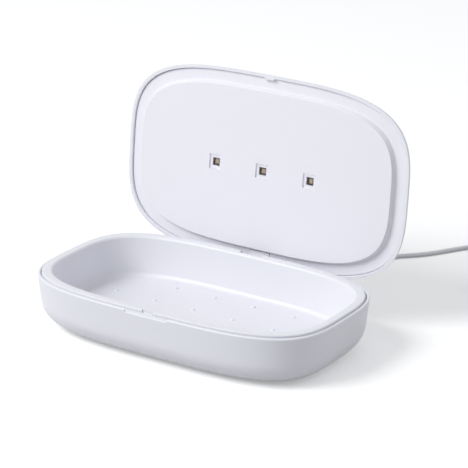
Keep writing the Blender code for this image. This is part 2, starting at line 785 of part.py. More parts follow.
lid_shell = add_object("lid_shell", shell_mesh("lid_shell", lid_shell_profile()), white_shell, lid_hinge)
arm_skin_z = lid_inner_z(arm_screw_y)
join(lid_shell, "arm_bosses", upright_rods(
    "arm_bosses", arm_screws, arm_top_z + fit_gap, arm_skin_z + lid_wall / 3, arm_boss_radius))
cut(lid_shell, "arm_holes", upright_rods(
    "arm_holes", arm_screws, arm_top_z, arm_skin_z + lid_wall - arm_hole_skin, small_screw_radius + fit_gap))
catch_front_y = -half_width + lip_width
catch_back_y = catch_front_y + catch_thickness
catch_half = catch_half_width - fit_gap
catch_low_z = rim_z - catch_reach + fit_gap
join(lid_shell, "catch_root", box_mesh(
    "catch_root", (-catch_half, catch_front_y - lip_width / 2, lid_rim_z + rim_gap),
    (catch_half, catch_back_y, flange_z - fit_gap)))
join(lid_shell, "catch_tab", box_mesh(
    "catch_tab", (-catch_half, catch_front_y - fit_gap / 3, catch_low_z),
    (catch_half, catch_back_y, flange_z - 2 * fit_gap)))
cut(lid_shell, "button_hole", upright_rods(
    "button_hole", [(0, button_y)], flange_z, lid_rim_z + 2 * lid_side_round, button_radius + fit_gap,
    pin_sides))
cut(lid_shell, "light_hole", upright_rods(
    "light_hole", [(light_pipe_x, button_y)], flange_z, lid_rim_z + 2 * lid_side_round,
    light_pipe_radius + fit_gap))


# Lid panel with the raised plateau that holds the emitters

def lid_panel_profile():
    edge_inset = lip_width + fit_gap
    inner_radius = lid_side_round - lid_wall
    back_reach = math.sqrt(inner_radius ** 2 - (flange_back_z - lid_rim_z) ** 2)
    side_back = plateau_inset + panel_thickness
    points = arc(plateau_inset + plateau_round, plateau_z + plateau_round, plateau_round,
                 270, 180, small_round_steps + 1)
    points += arc(plateau_inset - plateau_foot_fillet, flange_z - plateau_foot_fillet, plateau_foot_fillet,
                  0, 90, small_round_steps)
    points.append((edge_inset + panel_edge_chamfer, flange_z))
    points.append((edge_inset, flange_z + panel_edge_chamfer))
    points.append((edge_inset, flange_z + 2 * panel_edge_chamfer))
    points.append((lid_side_round - back_reach + fit_gap, flange_back_z))
    points.append((side_back, flange_back_z))
    points.append((side_back, plateau_back_z + plateau_foot_fillet))
    points.append((side_back + plateau_foot_fillet, plateau_back_z))
    return points


board_low = {
    "emitter": plateau_back_z + emitter_board_height,
    "control": plateau_back_z + control_board_height,
}
control_stake_x = control_board_length * board_stake_share
board_stakes = {
    "emitter": [(-emitter_pitch / 2, 0), (emitter_pitch / 2, 0)],
    "control": [(-control_stake_x, button_y), (control_stake_x, button_y)],
}
emitter_places = [(index - (emitter_count - 1) / 2) * emitter_pitch for index in range(emitter_count)]

lid_panel = add_object("lid_panel", shell_mesh("lid_panel", lid_panel_profile()), white_inner, lid_hinge)
cut(lid_panel, "arm_slot", box_mesh(
    "arm_slot", (-arm_half_width - fit_gap, arm_front_y - fit_gap, plateau_z),
    (arm_half_width + fit_gap, half_width, flange_back_z + cut_overrun)))
for board, places in board_stakes.items():
    low_z = plateau_z + panel_thickness / 2
    join(lid_panel, f"{board}_pillars", upright_rods(
        "pillars", places, low_z, board_low[board] - fit_gap, board_pillar_radius))
    join(lid_panel, f"{board}_stakes", upright_rods(
        "stakes", places, low_z, board_low[board] + board_thickness + board_stake_rise, board_stake_radius))
window_seat = window_set_back + window_thickness + fit_gap
cut(lid_panel, "window_recesses", joined_mesh("window_recesses", [
    box_mesh("recess", (x - window_side / 2 - fit_gap, -window_side / 2 - fit_gap, plateau_z - cut_overrun),
             (x + window_side / 2 + fit_gap, window_side / 2 + fit_gap, plateau_z + window_seat))
    for x in emitter_places]))
cut(lid_panel, "apertures", joined_mesh("apertures", [
    box_mesh("aperture", (x - aperture_side / 2, -aperture_side / 2, plateau_z - cut_overrun),
             (x + aperture_side / 2, aperture_side / 2, plateau_back_z + cut_overrun))
    for x in emitter_places]))


# Emitters, their windows and the boards in the lid

def board_mesh(name, length, width, middle_y, low_z, places):
    board = add_object(name, box_mesh(
        name, (-length / 2, middle_y - width / 2, low_z),
        (length / 2, middle_y + width / 2, low_z + board_thickness)), board_green, lid_hinge)
    cut(board, "stake_holes", upright_rods(
        "stake_holes", places, low_z - cut_overrun, low_z + board_thickness + cut_overrun,
        board_stake_radius + fit_gap))
    return board


emitter_top_z = board_low["emitter"] - fit_gap
window_low_z = plateau_z + window_set_back
for number, x in enumerate(emitter_places, start=1):
    add_object(f"led_window_{number}", box_mesh(
        "led_window", (x - window_side / 2, -window_side / 2, window_low_z),
        (x + window_side / 2, window_side / 2, window_low_z + window_thickness)), quartz, lid_hinge)
    add_object(f"uv_led_{number}", box_mesh(
        "uv_led", (x - emitter_side / 2, -emitter_side / 2, emitter_top_z - emitter_height),
        (x + emitter_side / 2, emitter_side / 2, emitter_top_z)), ceramic, lid_hinge)
board_mesh("led_board", emitter_board_length, emitter_board_width, 0, board_low["emitter"],
           board_stakes["emitter"])
board_mesh("control_board", control_board_length, control_board_width, button_y, board_low["control"],
           board_stakes["control"])
switch_low_z = board_low["control"] + board_thickness + fit_gap
switch_top_z = switch_low_z + switch_height
add_object("button_switch", box_mesh(
    "button_switch", (-switch_side / 2, button_y - switch_side / 2, switch_low_z),
    (switch_side / 2, button_y + switch_side / 2, switch_top_z)), dark_plastic, lid_hinge)


# Start button, on its own frame in the middle of its hole

def lid_outer_z(y):
    return lid_inner_z(y) + lid_wall


button_top_z = lid_outer_z(button_y - button_radius) - button_set_back
button_flange_radius = button_radius + button_flange_width
flange_top_z = lid_inner_z(button_y - button_flange_radius) - fit_gap
flange_low_z = flange_top_z - button_flange_thickness
stem_low_z = switch_top_z + button_travel + fit_gap
button_slide = empty("button_slide", (0, button_y - hinge_y, button_top_z - hinge_z), lid_hinge)
turned("start_button", [
    (0, 0), (button_radius - button_set_back, 0), (button_radius, -button_set_back),
    (button_radius, flange_top_z - button_top_z), (button_flange_radius, flange_top_z - button_top_z),
    (button_flange_radius, flange_low_z - button_top_z), (button_stem_radius, flange_low_z - button_top_z),
    (button_stem_radius, stem_low_z - button_top_z), (0, stem_low_z - button_top_z)],
    light_grey, button_slide, (0, 0, 0))

pipe_top_z = lid_outer_z(button_y - light_pipe_radius) - button_set_back
collar_top_z = lid_inner_z(button_y - light_pipe_radius - light_pipe_collar) - fit_gap
collar_radius = light_pipe_radius + light_pipe_collar
turned("status_light_pipe", [
    (0, pipe_top_z), (light_pipe_radius, pipe_top_z), (light_pipe_radius, collar_top_z),
    (collar_radius, collar_top_z), (collar_radius, collar_top_z - light_pipe_collar),
    (light_pipe_radius, collar_top_z - light_pipe_collar), (light_pipe_radius, switch_low_z),
    (0, switch_low_z)], quartz, lid_hinge, (light_pipe_x, button_y, 0), steps=hidden_sides)


# Closing magnets, a pair in the base and a pair in the lid

base_magnet_top_z = tray_top_z - tray_thickness - fit_gap
base_magnet_back_y = -half_width + tray_edge_inset + tray_thickness + fit_gap + magnet_width
lid_magnet_low_z = flange_back_z + fit_gap
lid_magnet_front_y = -half_width + lid_side_round - lid_wall / 2 - magnet_width / 3
for side_name, x in (("left", -magnet_x), ("right", magnet_x)):
    add_object(f"base_magnet_{side_name}", box_mesh(
        "base_magnet",
        (x - magnet_length / 2, base_magnet_back_y - magnet_width, base_magnet_top_z - magnet_height),
        (x + magnet_length / 2, base_magnet_back_y, base_magnet_top_z)), plated, base_frame)
    add_object(f"lid_magnet_{side_name}", box_mesh(
        "lid_magnet", (x - magnet_length / 2, lid_magnet_front_y, lid_magnet_low_z),
        (x + magnet_length / 2, lid_magnet_front_y + magnet_width, lid_magnet_low_z + lid_magnet_height)),
        plated, lid_hinge)


# Power inlet on its narrow board

inlet_mouth_y = half_width - base_inset(inlet_z) - inlet_set_back
inlet_back_y = inlet_mouth_y - inlet_length
cavity_width = inlet_width - 2 * inlet_wall
cavity_height = inlet_height - 2 * inlet_wall
cavity_back_y = inlet_back_y + inlet_back
tongue_back_y = cavity_back_y + fit_gap
tongue_front_y = tongue_back_y + tongue_length


def box_along_y(name, middle_x, middle_z, width, height, low_y, high_y, rounding=0, segments=3):
    return box_mesh(name, (middle_x - width / 2, low_y, middle_z - height / 2),
                    (middle_x + width / 2, high_y, middle_z + height / 2), rounding, 1, segments)


power_board_rear_y = inlet_back_y + power_board_width / 2
add_object("power_board", box_mesh(
    "power_board", (inlet_x - power_board_length / 2, power_board_rear_y - power_board_width, board_low_z),
    (inlet_x + power_board_length / 2, power_board_rear_y, board_top_z)), board_green, base_frame)
inlet_shell = add_object("power_socket_shell", box_along_y(
    "power_socket_shell", inlet_x, inlet_z, inlet_width, inlet_height, inlet_back_y, inlet_mouth_y,
    rounding=inlet_height * inlet_end_share), plated, base_frame)
cut(inlet_shell, "cavity", box_along_y(
    "cavity", inlet_x, inlet_z, cavity_width, cavity_height, cavity_back_y, inlet_mouth_y + cut_overrun,
    rounding=cavity_height * inlet_end_share))
add_object("power_socket_tongue", box_along_y(
    "power_socket_tongue", inlet_x, inlet_z, tongue_width, tongue_thickness, tongue_back_y, tongue_front_y),
    dark_plastic, base_frame)


# Plug of the power lead, standing in the inlet

plug_front_y = half_width - base_inset(inlet_z + plug_height / 2) + plug_stand_off
plug_end_y = plug_front_y + plug_length
tip_width = cavity_width - 2 * socket_gap
tip_height = cavity_height - 2 * socket_gap
tip_front_y = tongue_back_y + fit_gap
tip_root_y = plug_front_y + plug_tip_root
plug_tip = add_object("device_plug_tip", box_along_y(
    "device_plug_tip", inlet_x, inlet_z, tip_width, tip_height, tip_front_y, tip_root_y,
    rounding=tip_height * inlet_end_share), plated, base_frame)
cut(plug_tip, "cavity", box_along_y(
    "cavity", inlet_x, inlet_z, tongue_width + 2 * fit_gap, tongue_thickness + 2 * fit_gap,
    tip_front_y - cut_overrun, tongue_front_y + fit_gap))
device_plug = add_object("device_plug", box_along_y(
    "device_plug", inlet_x, inlet_z, plug_width, plug_height, plug_front_y, plug_end_y,
    rounding=plug_round), white_cable, base_frame)
cut(device_plug, "tip_pocket", box_along_y(
    "tip_pocket", inlet_x, inlet_z, tip_width + 2 * socket_gap, tip_height + 2 * socket_gap,
    plug_front_y - cut_overrun, tip_root_y + fit_gap, rounding=tip_height * inlet_end_share))

relief_start_y = plug_end_y + fit_gap
relief_end_y = relief_start_y + relief_length


def relief_profile():
    """A tapered sleeve with shallow grooves round it, from its thin end down."""
    points = [(0, relief_length), (relief_end_radius, relief_length)]
    pitch = relief_length / (relief_ring_count + 1)
    for ring in range(relief_ring_count):
        middle = relief_length - (ring + 1) * pitch
        taper = relief_end_radius + (relief_root_radius - relief_end_radius) * (1 - middle / relief_length)
        points += [(taper, middle + pitch / 4), (taper - relief_ring_depth, middle + pitch / 8),
                   (taper - relief_ring_depth, middle - pitch / 8), (taper, middle - pitch / 4)]
    return points + [(relief_root_radius, 0), (0, 0)]


turned("strain_relief", relief_profile(), white_cable, base_frame,
       (inlet_x, relief_start_y, inlet_z), (0, 1, 0), steps=hidden_sides)


# Cords: a smooth curve through chosen points, read at even steps

def smooth_route(points, step):
    """Points of a Catmull-Rom curve through a list, about one step apart."""
    places = [Vector(point) for point in points]
    places = [2 * places[0] - places[1], *places, 2 * places[-1] - places[-2]]
    fine = []
    for before, start, end, after in zip(places, places[1:], places[2:], places[3:]):
        for part_of_span in range(span_steps):
            t = part_of_span / span_steps
            squared = (2 * before - 5 * start + 4 * end - after) * t ** 2
            cubed = (3 * start - before - 3 * end + after) * t ** 3
            fine.append(0.5 * (2 * start + (end - before) * t + squared + cubed))
    fine.append(places[-2])
    travelled = [0.0]
    for here, there in zip(fine, fine[1:]):
        travelled.append(travelled[-1] + (there - here).length)
    count = max(2, round(travelled[-1] / step))
    even = [fine[0]]
    index = 0
    for stop in range(1, count):
        wanted = travelled[-1] * stop / count
        while travelled[index + 1] < wanted:
            index += 1
        share = (wanted - travelled[index]) / (travelled[index + 1] - travelled[index])
        even.append(fine[index].lerp(fine[index + 1], share))
    even.append(fine[-1])
    return even


def tube(name, points, radius, look, carrier, roundness=2):
    curve = bpy.data.curves.new(name, "CURVE")
    curve.dimensions = "3D"
    curve.bevel_depth = radius
    curve.bevel_resolution = roundness
    curve.use_fill_caps = True
    spline = curve.splines.new("POLY")
    spline.points.add(len(points) - 1)
    for knot, point in zip(spline.points, points):
        knot.co = (*point, 1)
    return add_object(name, curve, look, carrier)


def path_length(points):
    return sum((there - here).length for here, there in zip(points, points[1:]))


# The lead's route from the strain relief, over the table and out to the coil.
# The part that the box hides comes first, then the curve that shows beside the open lid.
cable_z = cable_radius + cable_rest
route = [
    (12.0 * MM, relief_end_y + fit_gap, inlet_z),
    (12.0 * MM, relief_end_y + 4.0 * MM, inlet_z),
    (12.2 * MM, 103.0 * MM, 9.9 * MM),
    (12.9 * MM, 115.0 * MM, 6.6 * MM),
    (14.4 * MM, 127.0 * MM, 3.5 * MM),
    (17.0 * MM, 139.0 * MM, 2.0 * MM),
    (20.5 * MM, 150.0 * MM, cable_z),
    (25.2 * MM, 161.0 * MM, cable_z),
    (30.6 * MM, 172.0 * MM, cable_z),
    (35.9 * MM, 180.4 * MM, cable_z),
    (41.1 * MM, 185.6 * MM, cable_z),
    (46.8 * MM, 191.4 * MM, cable_z),
    (53.6 * MM, 200.5 * MM, cable_z),
    (59.9 * MM, 211.1 * MM, cable_z),
    (66.5 * MM, 221.5 * MM, cable_z),
    (73.0 * MM, 231.1 * MM, cable_z),
]
coil_join = Vector((78.9 * MM, 239.7 * MM, cable_z))
join_heading = math.radians(55.8)
heading = Vector((math.cos(join_heading), math.sin(join_heading), 0))
cable_width = 2 * cable_radius
route.append(tuple(coil_join - heading * (cable_width + fit_gap)))
run_points = smooth_route(route, cable_step)
tube("cable_run", run_points, cable_radius, white_cable, base_frame)


def coil_points():
    """One unbroken piled coil: in on the lower layer, out again on the upper one."""
    centre = coil_join + coil_outer_radius * Vector((heading.y, -heading.x, 0))
    turning_point = coil_turns / 2
    count = round(coil_turns * coil_points_per_turn)
    points = [coil_join - heading * cable_width]
    for index in range(count + 1):
        turn = coil_turns * index / count
        radius = coil_outer_radius - coil_pitch * (turning_point - abs(turn - turning_point))
        climb = min(max(2 * (turn - turning_point) + 0.5, 0), 1)
        angle = join_heading + math.pi / 2 - 2 * math.pi * turn
        lift = coil_pitch * climb ** 2 * (3 - 2 * climb)
        points.append(centre + Vector((radius * math.cos(angle), radius * math.sin(angle), lift)))
    way = join_heading - 2 * math.pi * coil_turns
    last = points[-1]
    points.append(last + cable_width * Vector((math.cos(way), math.sin(way), 0)))
    points.append(last + coil_tail * Vector((math.cos(way), math.sin(way), 0)))
    return points, way


def least_self_gap(points, width):
    """Least distance between two stretches of a tube that aren't neighbours along it."""
    travelled = [0.0]
    for here, there in zip(points, points[1:]):
        travelled.append(travelled[-1] + (there - here).length)
    least = travelled[-1]
    for i, point in enumerate(points):
        for j in range(len(points) - 1):
            away = min(abs(travelled[i] - travelled[j]), abs(travelled[i] - travelled[j + 1]))
            if away > 4 * width:
                start, end = points[j], points[j + 1]
                along = end - start
                share = min(max((point - start).dot(along) / along.length_squared, 0), 1)
                least = min(least, (start + along * share - point).length - width)
    return least


wound_points, tail_heading = coil_points()
tube("cable_coil", wound_points, cable_radius, white_cable, base_frame, roundness=1)
print(f"least gap inside the coil {least_self_gap(wound_points, cable_width) / MM:.2f} mm")
print(f"lead length {(path_length(run_points) + path_length(wound_points)) / MM:.0f} mm")


# Plug at the lead's far end, lying beside the coil

tail_way = Vector((math.cos(tail_heading), math.sin(tail_heading), 0))
host_frame = empty("host_plug_frame", wound_points[-1] + tail_way * fit_gap, base_frame)
host_frame.rotation_euler = (0, 0, tail_heading)


def box_along_x(name, width, height, low_x, high_x, rounding=0, segments=2):
    return box_mesh(name, (low_x, -width / 2, -height / 2), (high_x, width / 2, height / 2), rounding, 0,
                    segments)


host_body_end = host_relief_length + host_plug_length
usb_plug_body = add_object("usb_plug_body", box_along_x(
    "usb_plug_body", host_plug_width, host_plug_height, host_relief_length, host_body_end,
    rounding=host_plug_height / 4), white_cable, host_frame)
join(usb_plug_body, "relief", rod_mesh(
    "relief", (0, 0, 0), (host_relief_length + cut_overrun, 0, 0), host_relief_radius,
    sides=hidden_sides, end_radius=host_relief_radius + cut_overrun))
cut(usb_plug_body, "shell_pocket", box_along_x(
    "shell_pocket", host_shell_width + 2 * socket_gap, host_shell_height + 2 * socket_gap,
    host_body_end - plug_tip_root - fit_gap, host_body_end + cut_overrun))
usb_plug_shell = add_object("usb_plug_shell", box_along_x(
    "usb_plug_shell", host_shell_width, host_shell_height, host_body_end - plug_tip_root,
    host_body_end + host_shell_length - plug_tip_root), plated, host_frame)
cut(usb_plug_shell, "cavity", box_along_x(
    "cavity", host_shell_width - 2 * host_shell_wall, host_shell_height - 2 * host_shell_wall,
    host_body_end - plug_tip_root + host_tongue_thickness, host_body_end + host_shell_length))
host_cavity_low_z = -host_shell_height / 2 + host_shell_wall
add_object("usb_plug_tongue", box_mesh(
    "usb_plug_tongue",
    (host_body_end - plug_tip_root + host_tongue_thickness + fit_gap,
     -host_shell_width / 2 + host_shell_wall + socket_gap, host_cavity_low_z + socket_gap),
    (host_body_end + host_shell_length - plug_tip_root - host_shell_wall,
     host_shell_width / 2 - host_shell_wall - socket_gap,
     host_cavity_low_z + socket_gap + host_tongue_thickness)), dark_plastic, host_frame)


# Wires inside: from the power board into the hinge pin, and on to the emitters' board

wire_z = board_top_z + fit_gap + wire_radius
pin_mouth_y = hinge_y - socket_gap
tube("base_lead", smooth_route([
    (inlet_x - power_board_length / 2 + 1.5 * MM, power_board_rear_y - 1.4 * MM, wire_z),
    (-9.0 * MM, power_board_rear_y - 0.6 * MM, wire_z + 0.6 * MM),
    (-13.4 * MM, post_y - 1.4 * MM, 14.0 * MM),
    (-lead_hole_x, post_y, strap_low_z - 4.0 * MM),
    (-lead_hole_x, post_y, strap_top_z),
    (-14.3 * MM, post_y + 0.9 * MM, strap_top_z + 1.9 * MM),
    (-13.2 * MM, pin_mouth_y - 0.1 * MM, hinge_z),
    (-ear_end, pin_mouth_y, hinge_z),
    (-8.0 * MM, hinge_y, hinge_z),
    (-4.0 * MM, hinge_y, hinge_z),
    (-1.5 * MM, hinge_y, hinge_z),
], wire_step), wire_radius, grey_rubber, base_frame)

groove_wire_z = arm_top_z - lead_slot_depth + 1.5 * wire_radius
slot_wire_y = slot_front_y + lead_slot_width / 2
board_wire_z = board_low["emitter"] + board_thickness + fit_gap + wire_radius
tube("lid_lead", smooth_route([
    (-1.1 * MM, hinge_y, hinge_z),
    (-0.4 * MM, hinge_y - 0.05 * MM, hinge_z + 0.15 * MM),
    (0.0 * MM, hinge_y - 0.25 * MM, hinge_z + 1.1 * MM),
    (0.0 * MM, slot_wire_y, hinge_z + 2.6 * MM),
    (0.0 * MM, slot_wire_y, flange_z + 0.6 * MM),
    (0.0 * MM, slot_wire_y - 0.75 * MM, flange_z + 1.95 * MM),
    (0.0 * MM, slot_wire_y - 2.6 * MM, groove_wire_z - 0.4 * MM),
    (0.0 * MM, arm_front_y, groove_wire_z),
    (0.0 * MM, arm_end_y, groove_wire_z),
    (0.0 * MM, arm_end_y - 6.0 * MM, groove_wire_z - 0.5 * MM),
    (0.0 * MM, (arm_end_y + emitter_board_width / 2) / 2, board_low["emitter"] + 2.2 * MM),
    (0.0 * MM, emitter_board_width / 2 + 6.0 * MM, board_wire_z),
    (0.0 * MM, emitter_board_width / 2 - 2.0 * MM, board_wire_z),
], wire_step), wire_radius, grey_rubber, lid_hinge)
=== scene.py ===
# %% [markdown]
# # A clamshell ultraviolet steriliser box
#
# This lesson dresses a small white box that cleans a phone or keys with ultraviolet light.
# The box stands open: a rounded base with a dished tray, and a lid of the same outline that
# leans back on a hinge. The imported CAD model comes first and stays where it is. Every new
# piece is built over it in the same metres, so nothing has to be fitted by hand.

import math

import bmesh
import bpy
from mathutils import Matrix, Vector


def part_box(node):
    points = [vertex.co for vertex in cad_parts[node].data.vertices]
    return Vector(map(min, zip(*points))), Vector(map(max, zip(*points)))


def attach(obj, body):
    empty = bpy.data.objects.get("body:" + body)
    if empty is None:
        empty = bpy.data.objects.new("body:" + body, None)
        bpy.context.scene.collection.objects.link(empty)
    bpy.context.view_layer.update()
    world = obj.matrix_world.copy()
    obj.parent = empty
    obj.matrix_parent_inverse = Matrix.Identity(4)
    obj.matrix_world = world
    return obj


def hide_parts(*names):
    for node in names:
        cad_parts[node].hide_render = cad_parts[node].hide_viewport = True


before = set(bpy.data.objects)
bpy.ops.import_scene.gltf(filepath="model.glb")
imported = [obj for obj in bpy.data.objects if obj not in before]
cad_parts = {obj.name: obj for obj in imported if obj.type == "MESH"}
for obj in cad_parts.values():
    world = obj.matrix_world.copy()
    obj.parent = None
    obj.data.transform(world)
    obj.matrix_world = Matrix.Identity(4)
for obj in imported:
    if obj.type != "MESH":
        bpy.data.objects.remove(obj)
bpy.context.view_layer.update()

# %% [markdown]
# ## The camera
#
# The camera comes first, because the lead has to lie where this view shows it. It looks from
# the front right, a little above the lid, with a long lens, which keeps the long edges nearly
# parallel. We give the point it stands at, the point it looks at, and a slight roll.

# %% Camera
MM = 0.001
eye = Vector((701.647, -1084.678, 539.062)) * MM
aim = Vector((33.03, -27.351, 76.931)) * MM
camera_roll = math.radians(0.642)
focal_pixels = 2304.464
picture_pixels = 468


def placed(name, data):
    """A new object, put into the scene."""
    made = bpy.data.objects.new(name, data)
    bpy.context.scene.collection.objects.link(made)
    return made


def looking(place, target):
    """Where a camera or lamp stands that looks from a place at a target."""
    turn = (Vector(target) - Vector(place)).to_track_quat("-Z", "Y").to_matrix().to_4x4()
    return Matrix.Translation(place) @ turn


camera_data = bpy.data.cameras.new("camera")
camera_data.sensor_width = 36
camera_data.lens = camera_data.sensor_width * focal_pixels / picture_pixels
camera_data.clip_start = 0.05
camera_data.clip_end = 20
camera = placed("camera", camera_data)
camera.matrix_world = looking(eye, aim) @ Matrix.Rotation(camera_roll, 4, "Z")
bpy.context.scene.camera = camera
bpy.context.scene.view_settings.view_transform = "Standard"

# %% [markdown]
# ## Sizes that the pieces share
#
# The base, the tray, the lid and the lid's inner panel are all lofted through one outline,
# drawn in by a few millimetres from ring to ring. The same few sizes come back everywhere, and
# they are the CAD model's. Places are counted from the middle of the base, with the lid closed,
# and `body_places` moves a finished piece to where its body stands.

# %% Shared sizes
low_corner, high_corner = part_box("base_shell")
base_y = (low_corner[1] + high_corner[1]) / 2
half_length = 100.0 * MM
half_width = 60.1 * MM
foot_stand_off = 1.0 * MM
rim_z = 33.8 * MM
lid_rim_z = 34.2 * MM
tray_top_z = 34.9 * MM
flange_z = 35.6 * MM
flange_back_z = 37.4 * MM
plateau_z = 32.1 * MM
plateau_back_z = 33.9 * MM
hinge_y = 57.5 * MM
hinge_z = 28.45 * MM
open_angle = math.radians(95.4)
outline_power = 3.54

base_place = Matrix.Translation((0, base_y, 0))
lid_place = (Matrix.Translation((0, base_y + hinge_y, hinge_z))
             @ Matrix.Rotation(-open_angle, 4, "X")
             @ Matrix.Translation((0, -hinge_y, -hinge_z)))
body_places = {"base": base_place, "lid": lid_place, "button": lid_place}

# %% [markdown]
# ## The power lead
#
# A slim white USB lead leaves a plug in the rear wall, drops to the table, and runs out past the
# lid. It is about a metre long, and what isn't in view is put away as a round coil of two
# layers, with the big plug next to it. A curve with a round bevel is its simplest true shape.

# %% Route of the lead
cable_radius = 1.5 * MM
inlet_x = 12.0 * MM
inlet_z = 11.0 * MM
route = [
    (12.0, 91.1, 11.0), (12.0, 94.8, 11.0), (12.2, 103.0, 9.9), (12.9, 115.0, 6.6),
    (14.4, 127.0, 3.5), (17.0, 139.0, 2.0), (20.5, 150.0, 1.6), (25.2, 161.0, 1.6),
    (30.6, 172.0, 1.6), (35.9, 180.4, 1.6), (41.1, 185.6, 1.6), (46.8, 191.4, 1.6),
    (53.6, 200.5, 1.6), (59.9, 211.1, 1.6), (66.5, 221.5, 1.6), (73.0, 231.1, 1.6),
]


def smooth_route(points, step=2.5 * MM):
    """A Catmull-Rom curve through the points, read about every step metres."""
    places = [Vector(point) for point in points]
    places = [2 * places[0] - places[1], *places, 2 * places[-1] - places[-2]]
    curve_points = []
    for before, start, end, after in zip(places, places[1:], places[2:], places[3:]):
        count = max(2, round((end - start).length / step))
        for index in range(count):
            t = index / count
            squared = (2 * before - 5 * start + 4 * end - after) * t ** 2
            cubed = (3 * start - before - 3 * end + after) * t ** 3
            curve_points.append(0.5 * (2 * start + (end - before) * t + squared + cubed))
    curve_points.append(places[-2])
    return curve_points


# %% Coil of the spare length
coil_join = Vector((78.9, 239.7, 1.6)) * MM
coil_heading = math.radians(55.8)
coil_radius = 24.0 * MM
coil_pitch = 3.5 * MM
coil_turns = 6.44
coil_tail = 11.5 * MM


def heading(angle):
    return Vector((math.cos(angle), math.sin(angle), 0))


def wound_coil(points_per_turn=48):
    """Turns drawn in on the table, then out again on top of them."""
    centre = coil_join + coil_radius * heading(coil_heading - math.pi / 2)
    middle = coil_turns / 2
    count = round(coil_turns * points_per_turn)
    points = []
    for index in range(count + 1):
        turn = coil_turns * index / count
        radius = coil_radius - coil_pitch * (middle - abs(turn - middle))
        climb = min(max(2 * (turn - middle) + 0.5, 0), 1)
        lift = coil_pitch * climb ** 2 * (3 - 2 * climb)
        out = heading(coil_heading + math.pi / 2 - 2 * math.pi * turn)
        points.append(centre + radius * out + Vector((0, 0, lift)))
    return points


coil = wound_coil()
tail_angle = coil_heading - 2 * math.pi * coil_turns
tail_end = coil[-1] + coil_tail * heading(tail_angle)
run = smooth_route([Vector(point) * MM for point in route] + [coil_join])
lead_points = run[:-1] + coil + [coil[-1].lerp(tail_end, 0.5), tail_end]

# %% Lead
# The bevel is a metre deep, and the radius of each knot brings it down to the lead's own.
lead_curve = bpy.data.curves.new("power_lead", "CURVE")
lead_curve.dimensions = "3D"
lead_curve.bevel_depth = 1.0
lead_curve.bevel_resolution = 3
lead_curve.use_fill_caps = True
lead_spline = lead_curve.splines.new("POLY")
lead_spline.points.add(len(lead_points) - 1)
for knot, point in zip(lead_spline.points, lead_points):
    knot.co = (*(base_place @ point), 1)
    knot.radius = cable_radius
power_lead = placed("power_lead", lead_curve)
looks = [(power_lead, "soft_jacket")]
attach(power_lead, "base")
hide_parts("cable_run", "cable_coil")

# %% [markdown]
# ## Lofting a shell through one outline
#
# The outline is a superellipse: rounder than a rectangle, squarer than an ellipse. A moulded
# box is a stack of such outlines, each one drawn in a little. We start from Blender's circle,
# put its points on the outline, and push the cap face on ring by ring, as the E key does in the
# editor. The last cap closes the body, so a wall gets its inside and its outside in one go.

# %% Outline and loft
ring_points = 192
corner_share = 0.45


def object_from(name, shape):
    """An object with the mesh of a shape, which is used up."""
    mesh = bpy.data.meshes.new(name)
    shape.to_mesh(mesh)
    shape.free()
    return placed(name, mesh)


def outline_angle(index):
    """Points stand closer together in the corners, where the curve is tighter."""
    quarter, share = divmod(4 * index / ring_points, 1)
    crowded = share + corner_share * math.sin(2 * math.pi * share) / (2 * math.pi)
    return (quarter + crowded) * math.pi / 2


def outline_place(index, inset, z):
    """One point of the outline, drawn in by an inset, at a height."""
    a = half_length - inset
    b = half_width - inset
    turn = outline_angle(index)
    angle = math.atan2(b * math.sin(turn), a * math.cos(turn))
    along = abs(math.cos(angle) / a) ** outline_power
    across = abs(math.sin(angle) / b) ** outline_power
    radius = (along + across) ** (-1 / outline_power)
    return Vector((radius * math.cos(angle), radius * math.sin(angle), z))


def loft(name, profile):
    """A closed piece through one ring of the outline for each pair of inset and height."""
    shape = bmesh.new()
    place = shape.verts.layers.int.new("place")
    bmesh.ops.create_circle(shape, cap_ends=True, segments=ring_points, radius=1)
    cap = shape.faces[:][0]
    for index, vert in enumerate(cap.verts):
        vert[place] = index
    for step, (inset, z) in enumerate(profile):
        if step:
            below = cap
            pushed = bmesh.ops.extrude_face_region(shape, geom=[below])
            cap = next(item for item in pushed["geom"] if isinstance(item, bmesh.types.BMFace))
            if step > 1:
                bmesh.ops.delete(shape, geom=[below], context="FACES_ONLY")
        for vert in cap.verts:
            vert.co = outline_place(vert[place], inset, z)
    shape.verts.layers.int.remove(place)
    bmesh.ops.recalc_face_normals(shape, faces=shape.faces[:])
    return object_from(name, shape)


def bend(inset, z, radius, start, end, steps):
    """Points of a round in a wall's section, as pairs of inset and height."""
    points = []
    for step in range(steps + 1):
        angle = math.radians(start + (end - start) * step / steps)
        points.append((inset + radius * math.cos(angle), z + radius * math.sin(angle)))
    return points


# %% [markdown]
# ## Small helpers
#
# A finished piece keeps its object at the origin and its place in its mesh. `finish_piece`
# therefore moves the mesh, shades it smooth, keeps the real edges sharp, and says which body
# it rides on, which look it takes and which CAD nodes it stands for. `carve` runs the
# exact Boolean for one cutter after the other and bakes each result, so no modifier stays live.

# %% Helpers for pieces
X, Y, Z = range(3)
smooth_angle = math.radians(32)
weld_distance = 0.01 * MM


def bake(piece, kind, **settings):
    """Puts a modifier on a piece and makes its result the piece's own mesh."""
    modifier = piece.modifiers.new(kind, kind)
    for name, value in settings.items():
        setattr(modifier, name, value)
    graph = bpy.context.evaluated_depsgraph_get()
    done = bpy.data.meshes.new_from_object(piece.evaluated_get(graph))
    piece.modifiers.clear()
    spent = piece.data
    piece.data = done
    bpy.data.meshes.remove(spent)


def carve(piece, *shapes, operation="DIFFERENCE"):
    """Cuts shapes out of a piece. A cutter's object goes with its mesh."""
    for shape in shapes:
        tool = object_from("tool", shape)
        bake(piece, "BOOLEAN", operation=operation, solver="EXACT", object=tool)
        bpy.data.meshes.remove(tool.data)


def join_on(piece, *shapes):
    carve(piece, *shapes, operation="UNION")


